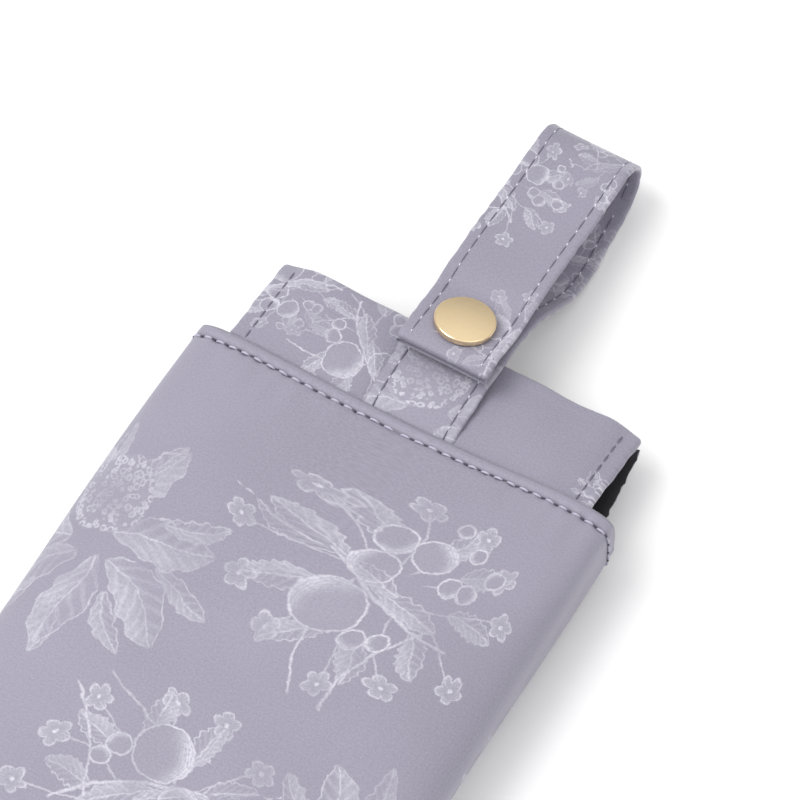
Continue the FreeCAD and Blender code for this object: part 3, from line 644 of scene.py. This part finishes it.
def spring_strip(name, height_of):
    """A flat strip through the middle of the casing."""
    ahead = np.linspace(4.0, 18.0, 12)
    middle, out_across, out_up = stadium(48, 3, 35.85)
    place = np.repeat(ahead[:, None], len(middle), 1)
    up = height_of(middle[None] + 0 * place, place) + out_up[None] * STRIP_HALF
    across = np.repeat((middle + out_across * STRIP_HALF)[None], len(ahead), 0)
    return surface(name, to_space(across, -place, up), np.stack([across, place], -1) * MM)


def metal(name, colour, rough, stretch):
    """Drawn or ground metal: fine marks stretched along the piece, faint dulling."""
    graph = Graph(name)
    place = graph.body_place(stretch)
    mark = graph.noise(place, 1500.0, 4.0, 0.6)
    dull = graph.noise(place, 60.0, 2.0)
    return graph.finish(graph.shades(dull, colour, 0.85, 1.0), rough + mark * 0.14, (0.12, 0.00005, mark),
                        Metallic=1.0)


spring_steel = metal("spring_steel_strip", linear(150, 152, 156), 0.3, (0.05, 1.0, 1.0))
placed(spring_strip("front_spring_bowed", front_band_height), spring_steel, "spring_steel", "mouth_front",
       "front_spring_strip")
placed(spring_strip("back_spring_bowed", back_band_height), spring_steel, "spring_steel", "case",
       "back_spring_strip")


# ---- Hanging strap ----
# Two-ply satin tape, topstitched near both edges, doubled back through its far bend and held
# to itself by the snap. The free end is folded under in a short hem.

STRAP_HALF = 10.15
STRAP_THICK = 0.65  # half the two plies' thickness
STRAP_STITCH = 3.9  # stitch pitch
STITCH_ACROSS = 7.9  # stitch lines either side of the strap's middle
CUP = 0.12  # the strap's middle stands this much above its edges
BEND_RADIUS = 7.5
BEND_AT = (69.5, 8.45)
SPLIT = -60  # the lower ply's piece ends here round the bend, in degrees
SNAP_LEAN = math.radians(4.5)
CAP_TIP = math.radians(12.0)  # the pulled flap tips the cap further over than the stud
SNAP_FOOT = (22.5, 15.9)
STACK = 4.6  # lower ply's middle to the flap's middle


def bend(first, last, count):
    """Places round the far bend between two angles in degrees."""
    turn = np.radians(np.linspace(first, last, count))
    return (np.stack([np.cos(turn), np.sin(turn)], -1) * BEND_RADIUS + BEND_AT).tolist()


def ply_height(ahead, level):
    """Height of a ply's straight run over the band, 'level' above the lower ply's middle."""
    shift = SNAP_FOOT[0] + math.sin(SNAP_LEAN) * level
    return SNAP_FOOT[1] + math.cos(SNAP_LEAN) * level - math.tan(SNAP_LEAN) * (ahead - shift)


def smooth_path(points, count):
    """A Catmull-Rom curve through the points, resampled evenly."""
    points = np.asarray(points, float)
    ends = np.concatenate([[2 * points[0] - points[1]], points, [2 * points[-1] - points[-2]]])
    t = np.linspace(0, 1, 24, endpoint=False)[:, None]
    parts = []
    for a, b, c, d in zip(ends, ends[1:], ends[2:], ends[3:]):
        parts.append(0.5 * (2 * b + (c - a) * t + (2 * a - 5 * b + 4 * c - d) * t ** 2
                            + (3 * b - a - 3 * c + d) * t ** 3))
    fine = np.concatenate(parts + [points[-1:]])
    run = np.concatenate([[0], np.cumsum(np.hypot(*np.diff(fine, axis=0).T))])
    even = np.linspace(0, run[-1], count)
    return np.stack([np.interp(even, run, fine[:, 0]), np.interp(even, run, fine[:, 1])], -1), even


lower_points = [(-2.6, 14.6), (0.3, 15.3), (3.0, 16.2), (7.5, 16.7)]
lower_points += [(a, ply_height(a, 0.0)) for a in (13.0, 20.0, 28.0)]
lower_points += [(36.0, 12.6), (42.0, 8.0), (48.0, 4.2), (55.0, 1.8), (62.0, 1.05)] + bend(-90, SPLIT, 4)
upper_points = bend(SPLIT, 90, 14) + [(62.0, 16.3), (55.0, 17.1), (48.0, 18.2), (41.0, 19.1)]
upper_points += [(a, ply_height(a, STACK)) for a in (33.0, 28.0, 22.0, 17.0, 13.5)]
hem_points = [(a, ply_height(a, STACK - 1.1)) for a in (13.5, 17.3)]


def flap_tip(ahead, across):
    """Height added to the flap round the snap: -slope * past * exp(-(past/9)^4 - (across/13)^4)."""
    past = ahead - SNAP_FOOT[0] - 0.4
    return -math.tan(CAP_TIP) * past * np.exp(-(past / 9.0) ** 4 - (across / 13.0) ** 4)


def strap_side(path, run, across, depth, flap):
    """A place on the tape: path point plus depth along its normal, with slack edges and sewn grooves."""
    step = np.gradient(path, axis=0)
    step = step / np.linalg.norm(step, axis=1, keepdims=True)
    normal = np.stack([-step[:, 1], step[:, 0]], -1)
    edge = smoothstep(7.2, STRAP_HALF, np.abs(across))
    phase = np.sign(across) * 1.1 + run[:, None]
    wave = 0.09 * np.sin(phase * 1.62) * (0.6 + 0.4 * np.sin(phase * 0.23)) + 0.10 * np.sin(phase * 0.41)
    cup = CUP * (1 - (across / STRAP_HALF) ** 2)
    groove = 0.13 * np.exp(-((np.abs(across) - STITCH_ACROSS) / 0.45) ** 2)
    groove = groove * (0.6 + 0.4 * np.cos(run[:, None] * 2 * math.pi / STRAP_STITCH))
    depth = depth * (1 - groove / STRAP_THICK) + wave * edge * 0.9 + cup
    ahead = path[:, :1] + normal[:, :1] * depth
    height = path[:, 1:] + normal[:, 1:] * depth + flap * flap_tip(ahead, across)
    side_wave = 0.07 * np.sin(phase * 1.57) * (0.5 + 0.5 * np.sin(phase * 0.19)) + 0.05 * np.sin(phase * 0.6)
    return across + np.sign(across) * side_wave * edge, ahead, height


def loop_shift(ahead):
    """The loop's lower ply strays a little to one side between the snap and the bend."""
    return 1.4 * np.exp(-((ahead - 50.0) / 14.0) ** 2)


def no_shift(ahead):
    return 0.0 * ahead


def strap_ply(name, points, count, run_from, face, flap, shift):
    """One ply of the doubled strap as a swept flat oval; a flap's free end is folded to nothing."""
    path, run = smooth_path(points, count)
    middle, out_across, out_up = stadium(34, 7, STRAP_HALF - STRAP_THICK)
    thick = STRAP_THICK * (hem_fade(run[-1] - run, 0.7) if flap else np.ones(count))[:, None]
    across = middle[None] + out_across[None] * thick
    across, ahead, height = strap_side(path, run, across, out_up[None] * thick, flap)
    uv = np.stack([np.repeat((middle + 300 * (out_up * face < -0.5))[None], count, 0),
                   np.repeat((run_from + run)[:, None], len(middle), 1)], -1) * MM
    return surface(name, to_space(across + shift(ahead), -ahead, height), uv)


def follow_neck(piece):
    """Bake the piece's placement into its mesh."""
    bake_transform(piece)


def follow_bend(piece):
    """Bake the piece's placement into its mesh."""
    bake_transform(piece)


LOWER_FROM = 200.0  # where on the printed cloth the strap was cut, mm
flap_from = LOWER_FROM + smooth_path(lower_points, 150)[1][-1]
placed(strap_ply("strap_lower_ply", lower_points, 150, LOWER_FROM, 1, False, loop_shift), trim_satin,
       "printed_satin", follow_neck, "strap_base")
placed(strap_ply("strap_flap_ply", upper_points, 150, flap_from, -1, True, no_shift), trim_satin,
       "printed_satin", follow_bend, "strap_flap")
placed(strap_ply("strap_flap_hem", hem_points, 24, 380.0, 1, True, no_shift), trim_satin, "printed_satin",
       "strap_flap_end")


# ---- Snap ----
# A pale gold snap holds the flap to the strap. Its domed cap, with a rolled rim, is on the flap;
# socket, stud and post are plain pressings.

def lathe(name, profile, foot, lean, segments=72):
    """A profile of (radius, height) turned about the snap's leaning axis."""
    profile = np.asarray(profile, float)
    turn = np.linspace(0, 2 * math.pi, segments, endpoint=False)
    x = profile[:, :1] * np.cos(turn)
    y = profile[:, :1] * np.sin(turn)
    z = np.repeat(profile[:, 1:], segments, 1)
    ahead = foot[0] + y * math.cos(lean) + z * math.sin(lean)
    up = foot[1] - y * math.sin(lean) + z * math.cos(lean)
    uv = np.stack([np.repeat(turn[None] * 5.0, len(profile), 0), z], -1) * MM
    return surface(name, to_space(x, -ahead, up), uv)


def polished(name, colour, rough=0.13):
    """Polished plating with faint rub marks."""
    graph = Graph(name)
    rub = graph.noise(graph.body_place(), 900.0, 4.0, 0.6)
    return graph.finish(graph.shades(rub.ramp(0.3, 0.7), colour, 0.98, 1.0), rough + rub * 0.04,
                        (0.02, 0.00004, rub), Metallic=1.0)


gold = polished("pale_gold", linear(247, 222, 180))
cap_profile = [(0.0, 0.0), (1.0, 0.0), (1.0, 1.84), (5.2, 1.86), (5.95, 1.88), (6.2, 1.98), (6.3, 2.15),
               (6.28, 2.85)]
shoulder = np.linspace(0.0, math.pi / 2.0, 9)
cap_profile += [(5.84 + 0.42 * math.cos(t), 2.92 + 0.36 * math.sin(t)) for t in shoulder]
cap_profile += [(5.84 * s, 3.28 + 0.42 * (1 - s * s)) for s in np.linspace(0.96, 0.0, 16)]
CAP_STEM = 1.9  # from the stem's foot to the cap's seat
CAP_LIFT = 0.12  # the cap's rim stands just clear of the cloth
cap_level = STACK + STRAP_THICK + 0.02
cap_lean = SNAP_LEAN + CAP_TIP
cap_foot = (SNAP_FOOT[0] + math.sin(SNAP_LEAN) * cap_level - math.sin(cap_lean) * CAP_STEM,
            SNAP_FOOT[1] + math.cos(SNAP_LEAN) * cap_level - math.cos(cap_lean) * CAP_STEM + CAP_LIFT)
placed(lathe("snap_cap_polished", cap_profile, cap_foot, cap_lean), gold, "gold_brass", "strap_flap_end",
       "snap_cap")
for node in ("snap_socket", "snap_stud", "snap_post"):
    frame["nodes"][node].data.materials.clear()
    frame["nodes"][node].data.materials.append(gold)


# ---- Stitching ----
# Filament thread round the mouth, along both strap edges and on the band hems.
# Each stitch is a short bead that rises from one needle hole and sinks at the next; dark beads paint the
# holes' shade.

def stitches(name, starts, ends, outs, radius, sink=0.5):
    """Beads of thread from start to end points: six-sided tubes that arch out by their own thickness."""
    starts, ends, outs = (np.asarray(a, float) for a in (starts, ends, outs))
    share = np.array([0.0, 0.12, 0.35, 0.65, 0.88, 1.0])
    fat = np.array([0.35, 0.8, 1.0, 1.0, 0.8, 0.35]) * radius
    lift = np.array([-sink, 0.2, 0.75, 0.75, 0.2, -sink]) * radius
    along = ends - starts
    run = along / np.linalg.norm(along, axis=1, keepdims=True)
    side = np.cross(run, outs)
    side = side / np.linalg.norm(side, axis=1, keepdims=True)
    up = np.cross(side, run)
    turn = np.linspace(0, 2 * math.pi, 6, endpoint=False)[:, None]
    centre = starts[:, None] + along[:, None] * share[None, :, None] + up[:, None] * lift[None, :, None]
    ring = side[:, None, None] * np.cos(turn) + up[:, None, None] * np.sin(turn)
    points = centre[:, :, None] + ring * fat[None, :, None, None]
    corner = np.arange(6)
    base = np.arange(len(starts))[:, None, None] * 36 + np.arange(5)[None, :, None] * 6 + corner
    across = base - corner + (corner + 1) % 6
    quads = np.stack([base, across, across + 6, base + 6], -1).reshape(-1, 4)
    first = np.arange(len(starts))[:, None] * 36
    caps = (first + corner[::-1]).tolist() + (first + 30 + corner).tolist()
    return new_piece(name, points, quads.tolist() + caps)


def thread(name, colour):
    """Twisted filament with a slight sheen."""
    graph = Graph(name)
    twist = graph.noise(graph.body_place(), 4000.0, 2.0)
    return graph.finish(graph.shades(twist, colour, 0.8, 1.15), 0.45 + twist * 0.2)


pale_thread = thread("thread_pale", linear(180, 176, 194))
# Dark grey thread for the strap and band hems: its own colour darkened with painted shade, for thread sunk in
# its stitch groove.
dark_thread = thread("thread_shaded", linear(104, 100, 116))
hole_shade_thread = thread("thread_in_holes", linear(72, 68, 84))
# Painted shade: near-black beads for the shadow in the mouth's needle holes.
knot_thread = thread("thread_knot", linear(226, 224, 234))


def dashes(line, out, pitch, fill):
    """Cut a line of points into stitches of one pitch, each filling part of it."""
    run = np.concatenate([[0], np.cumsum(np.linalg.norm(np.diff(line, axis=0), axis=1))])
    begin = np.arange(0.2 * MM, run[-1] - pitch, pitch)

    def at(values, data):
        return np.stack([np.interp(values, run, data[:, i]) for i in range(3)], -1)
    return at(begin, line), at(begin + pitch * fill, line), at(begin + pitch * 0.5, out)


def case_ring(depth_back, lift):
    """A line round the case at one station, with outward directions."""
    across, station, height = case_shape(np.array([depth_back]), -lift)
    inner_across, _, inner_height = case_shape(np.array([depth_back]), 1.0 - lift)
    line = to_space(across, station, height)[0]
    out = line - to_space(inner_across, station, inner_height)[0]
    line = np.concatenate([line, line[:1]])
    out = np.concatenate([out, out[:1]])
    return line, out / np.linalg.norm(out, axis=1, keepdims=True)


ring, ring_out = case_ring(STITCH_DOWN, 0.10)
stitch_from, stitch_to, stitch_out = dashes(ring, ring_out, TOPSTITCH * MM, 0.66)
edge_stitches = stitches("mouth_topstitch", stitch_from, stitch_to, stitch_out, 0.27 * MM)
# Painted shade: dark beads in the gaps between the topstitches stand for the shadow in the needle holes.
sunk = stitch_out[:-1] * 0.1 * MM
hole_shade_beads = stitches("mouth_needle_holes", stitch_to[:-1] - sunk, stitch_from[1:] - sunk, stitch_out[:-1],
                      0.22 * MM, 0.4)
placed(edge_stitches, pale_thread, "printed_satin", follow_mouth)
placed(hole_shade_beads, hole_shade_thread, "printed_satin", follow_mouth)


def strap_stitching(name, path_points, face, shift, first, last, follow):
    """Thread dashes with small pale knots between them, along both edges of one face of a ply."""
    count = 400
    path, run = smooth_path(path_points, count)
    keep = slice(int(count * first), int(count * last))
    found = []
    for side in (-1, 1):
        across = np.full((count, 1), STITCH_ACROSS * side)
        line, inside = (strap_side(path, run, across, np.full((count, 1), depth * face), face < 0)
                        for depth in (STRAP_THICK + 0.02, STRAP_THICK - 1.0))
        line, inside = (to_space(x + shift(ahead), -ahead, height)[:, 0][keep]
                        for x, ahead, height in (line, inside))
        out = line - inside
        found.append(dashes(line, out / np.linalg.norm(out, axis=1, keepdims=True), STRAP_STITCH * MM, 0.8))
    begins, ends, outs = (np.concatenate(part) for part in zip(*found))
    run = (ends - begins) / np.linalg.norm(ends - begins, axis=1, keepdims=True)
    placed(stitches(name, begins, ends, outs, 0.15 * MM), dark_thread, "printed_satin", follow)
    placed(stitches(name + "_knots", ends + run * 0.15 * MM, ends + run * 0.6 * MM, outs, 0.15 * MM, 0.2),
           knot_thread, "printed_satin", follow)


strap_stitching("strap_base_stitches", lower_points, 1, loop_shift, 0.03, 0.995, follow_neck)
strap_stitching("strap_flap_stitches", upper_points, -1, no_shift, 0.02, 0.99, follow_bend)
strap_stitching("strap_bend_stitches", bend(SPLIT, 10, 10), 1, no_shift, 0.0, 1.0, follow_bend)


def band_hem(name, side):
    """The stitch line that holds a band's end hem, on its upper face."""
    ahead = np.linspace(0.8, BAND_LENGTH - 0.6, 80)
    across = np.full(80, side * 37.4)
    face = front_band_height(across, ahead) + 1.0 - 0.28 + 0.05
    out = np.repeat([[0.0, 0.0, 1.0]], 80, 0)
    row = dashes(to_space(across, -ahead, face), out, 2.9 * MM, 0.78)
    placed(stitches(name, *row, 0.17 * MM), dark_thread, "printed_satin", "mouth_front")


band_hem("band_hem_stitches_left", -1)
band_hem("band_hem_stitches_right", 1)


# ---- Closed end binding ----
# A tape of the same satin is folded over the raw edges of the closed end,
# and sewn through with one row of stitches.

binding_low, binding_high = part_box("end_binding")
binding_half = (binding_high[0] - binding_low[0]) / 2.0 / MM
binding_z = (binding_high[2] + binding_low[2]) / 2.0 / MM
TAPE_ROUND = 1.2  # rounding of the tape's two ends
tape_across = np.concatenate([-binding_half + TAPE_ROUND * (1 - np.cos(np.linspace(0.15, math.pi / 2, 7))),
                              np.linspace(-binding_half + 1.6, binding_half - 1.6, 150),
                              binding_half - TAPE_ROUND * (1 - np.cos(np.linspace(math.pi / 2, 0.15, 7)))])
tape_turn = np.linspace(0.0, 2.0 * math.pi, 28, endpoint=False)
tape_fat = hem_fade(binding_half - np.abs(tape_across), TAPE_ROUND)
tape_fat = tape_fat * (1 + 0.05 * np.sin(tape_across * 1.9) + 0.03 * np.sin(tape_across * 0.7))
tape_y = binding_low[1] / MM + 1.95 + 1.9 * np.cos(tape_turn)[None] * tape_fat[:, None]
tape_z = binding_z + 1.5 * np.sin(tape_turn)[None] * tape_fat[:, None]
tape_points = np.stack([np.repeat(tape_across[:, None], 28, 1), tape_y, tape_z], -1) * MM
tape_round = np.repeat(tape_turn[None] * 1.6, len(tape_across), 0)
tape_uv = np.stack([np.repeat(tape_across[:, None], 28, 1), 500 + tape_round], -1)
placed(surface("end_binding_tape", tape_points, tape_uv * MM), trim_satin, "printed_satin", "case",
       "end_binding")
tape_line = np.stack([np.linspace(-39, 39, 160), np.full(160, binding_low[1] / MM + 2.3),
                      np.full(160, binding_z + 1.52)], -1)
tape_row = dashes(tape_line * MM, np.repeat([[0.0, 0.0, 1.0]], 160, 0), TOPSTITCH * MM, 0.8)
placed(stitches("end_binding_stitches", *tape_row, 0.2 * MM), pale_thread, "printed_satin", "case")


# ---- Umbrella ----
# The folded umbrella lies in the case, handle towards the mouth: a flat bundle of pleated satin
# round its ribs, wrapped by a closure band with a touch-fastened tab, on a telescopic shaft.

canopy_low, canopy_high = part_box("canopy")
canopy_y = (canopy_low[1] + canopy_high[1]) / 2.0 / MM
canopy_z = (canopy_low[2] + canopy_high[2]) / 2.0 / MM
LEAN = joint_at["umbrella_draw"]["axis"][2] / joint_at["umbrella_draw"]["axis"][1]


def bundle(name, along, half_across, half_deep, pleat, uv_y, around=288, drift=0.0):
    """A flat oval bundle along the shaft: pleats are ridges that run round the oval and twist slowly."""
    turn = np.linspace(0.0, 2.0 * math.pi, around, endpoint=False)
    cos, sin = np.cos(turn), np.sin(turn)
    run = turn[None] + drift * along[:, None]
    ridge = pleat * (np.abs(np.sin(run * 9.0)) ** 0.6 + 0.45 * np.sin(run * 31.0 + along[:, None] * 0.05))
    wide = half_across[:, None] * np.sign(cos) * np.abs(cos) ** 0.62 + ridge * cos
    deep = half_deep[:, None] * np.sign(sin) * np.abs(sin) ** 0.72 + ridge * sin
    y = np.repeat(along[:, None], around, 1)
    z = canopy_z + (y - canopy_y) * LEAN + deep
    uv = np.stack([np.repeat(turn[None] * 22.0, len(along), 0), y + uv_y], -1)
    return surface(name, np.stack([wide, y, z], -1) * MM, uv * MM)


start_y, stop_y = canopy_high[1] / MM - 0.4, canopy_low[1] / MM + 0.3
NOSE, TAIL = 9.0, 15.0  # rounding of the bundle towards the handle and towards the tips
along = np.concatenate([start_y - NOSE * (1 - np.cos(np.linspace(0.0, math.pi / 2, 14))),
                        np.linspace(start_y - NOSE - 1.0, stop_y + TAIL + 1.0, 90),
                        stop_y + TAIL * (1 - np.sin(np.linspace(0.0, math.pi / 2, 14)))])
nose = np.clip((start_y - along) / NOSE, 0, 1)
tail = np.clip((along - stop_y) / TAIL, 0, 1)
fill = np.sqrt(1 - (1 - nose) ** 2) * 0.72 + 0.28
shut = np.sqrt(1 - (1 - tail) ** 2)
fill = fill * (0.25 + 0.75 * shut)
pinch = 1 - 0.10 * np.exp(-((along + 39.5) / 10.0) ** 2)
placed(bundle("canopy_pleats", along, 28.6 * fill * pinch, 7.9 * fill * pinch, 0.62, 700.0, drift=0.004),
       case_satin, "canopy_cloth", "umbrella", "canopy")

band_low, band_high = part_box("closure_band")
wrap_y = np.linspace(band_high[1] / MM - 0.2, band_low[1] / MM + 0.2, 30)
roll = 0.3 * hem_fade(np.minimum(wrap_y - wrap_y[-1], wrap_y[0] - wrap_y), 1.0)
placed(bundle("closure_band_wrap", wrap_y, 29.6 + roll, 8.7 + roll, 0.03, 900.0), trim_satin,
       "canopy_cloth", "umbrella", "closure_band")

tab_low, tab_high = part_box("closure_tab")
tab_y = np.linspace(tab_low[1] / MM, tab_high[1] / MM, 24)
tab_middle, tab_across, tab_up = stadium(30, 5, 10.5)
tab_fat = 0.42 * hem_fade(np.minimum(tab_y - tab_y[0], tab_y[-1] - tab_y), 0.8)[:, None]
tab_x = tab_middle[None] + tab_across[None] * tab_fat
tab_place = np.repeat(tab_y[:, None], len(tab_middle), 1)
tab_z = (tab_low[2] + tab_high[2]) / 2.0 / MM - 0.25 + tab_up[None] * tab_fat - 0.004 * tab_x ** 2
tab_z = tab_z + 0.09 * waves(tab_x, tab_place, [(9, 14, 0.1), (-13, 8, 2.0)])
tab_points = np.stack([tab_x, tab_place, tab_z], -1) * MM
tab_uv = np.stack([tab_x + 40 * (tab_up < 0), tab_place + 950], -1) * MM
placed(surface("closure_tab_soft", tab_points, tab_uv), trim_satin, "canopy_cloth", "umbrella",
       "closure_tab")


def plastic(name, colour, rough):
    """Moulded plastic: fine even texture, slight mottling and rubbed patches."""
    graph = Graph(name)
    place = graph.body_place()
    grain = graph.noise(place, 2600.0, 3.0, 0.6)
    patch = graph.noise(place, 45.0, 3.0)
    return graph.finish(graph.shades(patch, colour, 0.8, 1.25), rough + patch * 0.15, (0.25, 0.00005, grain))


umbrella_finishes = {
    "black_plastic": plastic("black_plastic_moulded", linear(42, 42, 45), 0.34),
    "shaft_metal": metal("shaft_steel", linear(196, 198, 202), 0.22, (1.0, 0.04, 1.0)),
    "rib_metal": metal("rib_alloy", linear(112, 114, 120), 0.34, (1.0, 0.04, 1.0)),
    "gold_brass": gold,
}
for node in frame["nodes"].values():
    old = node.data.materials[0].name if node.data.materials else ""
    finish = next((value for key, value in umbrella_finishes.items() if key in old), None)
    if finish:
        node.data.materials.clear()
        node.data.materials.append(finish)


# ---- Stage, light and camera ----
# A pale seamless floor under a bright sky, with a broad soft key light from the upper left
# and a weak fill from the right. The camera looks down on the mouth through a long lens.

FLOOR_HALF = 6.0
floor_mesh = bpy.data.meshes.new("floor")
floor_mesh.from_pydata([(x * FLOOR_HALF, y * FLOOR_HALF, 0) for x, y in ((-1, -1), (1, -1), (1, 1), (-1, 1))],
                       [], [(0, 1, 2, 3)])
floor = bpy.data.objects.new("floor", floor_mesh)
bpy.context.scene.collection.objects.link(floor)
pale_floor = Graph("pale_floor")
floor.data.materials.append(pale_floor.finish((0.93, 0.93, 0.93, 1.0), 0.9))

world = bpy.data.worlds.new("studio")
world.use_nodes = True
world_tree = world.node_tree
way, up_share, sky = (world_tree.nodes.new("ShaderNode" + kind)
                      for kind in ("TexCoord", "SeparateXYZ", "MapRange"))
for socket, value in (("From Min", 0.05), ("From Max", 0.75), ("To Min", 0.36), ("To Max", 1.02)):
    sky.inputs[socket].default_value = value
background = world_tree.nodes["Background"].inputs
background["Color"].default_value = (1.0, 1.0, 1.0, 1.0)
for output, socket in ((way.outputs["Generated"], up_share.inputs[0]),
                       (up_share.outputs["Z"], sky.inputs["Value"]),
                       (sky.outputs["Result"], background["Strength"])):
    world_tree.links.new(output, socket)
bpy.context.scene.world = world
bpy.context.scene.view_settings.view_transform = "Standard"

ELEVATION = math.radians(60.72)
AZIMUTH = math.radians(29.95)
RIGHT = np.array([math.cos(AZIMUTH), math.sin(AZIMUTH), 0.0])
LEVEL = np.array([-math.sin(AZIMUTH), math.cos(AZIMUTH), 0.0])
FORWARD = LEVEL * math.cos(ELEVATION) - np.array([0.0, 0.0, math.sin(ELEVATION)])
UP = np.cross(RIGHT, FORWARD)
TARGET = np.array([0.0, SEAM_Y, 0.010])


def area_light(name, away, size, power):
    """A square soft light placed by its offset from the mouth and aimed at it."""
    lamp = bpy.data.lights.new(name, "AREA")
    lamp.size, lamp.energy = size, power
    holder = bpy.data.objects.new(name, lamp)
    holder.location = TARGET + away
    holder.rotation_euler = (-Vector(away)).to_track_quat("-Z", "Y").to_euler()
    bpy.context.scene.collection.objects.link(holder)


area_light("key", -RIGHT * 0.9 + UP * 0.75 - FORWARD * 1.3, 1.1, 19.0)
area_light("fill", RIGHT * 0.9 - UP * 0.3 - FORWARD * 1.3, 1.6, 3.0)

DISTANCE = 1.551
AIM_LEFT, AIM_UP = 0.0013018, 0.0077515  # the view's middle from the mouth, metres
camera_data = bpy.data.cameras.new("camera")
camera = bpy.data.objects.new("camera", camera_data)
camera_data.sensor_width = 36.0
camera_data.lens = 353.861
place = TARGET - RIGHT * AIM_LEFT + UP * AIM_UP - FORWARD * DISTANCE
turn = Matrix((RIGHT.tolist(), UP.tolist(), (-FORWARD).tolist())).transposed().to_4x4()
camera.matrix_world = Matrix.Translation(place.tolist()) @ turn
camera_data.clip_start, camera_data.clip_end = 0.05, 30.0
bpy.context.scene.collection.objects.link(camera)
bpy.context.scene.camera = camera
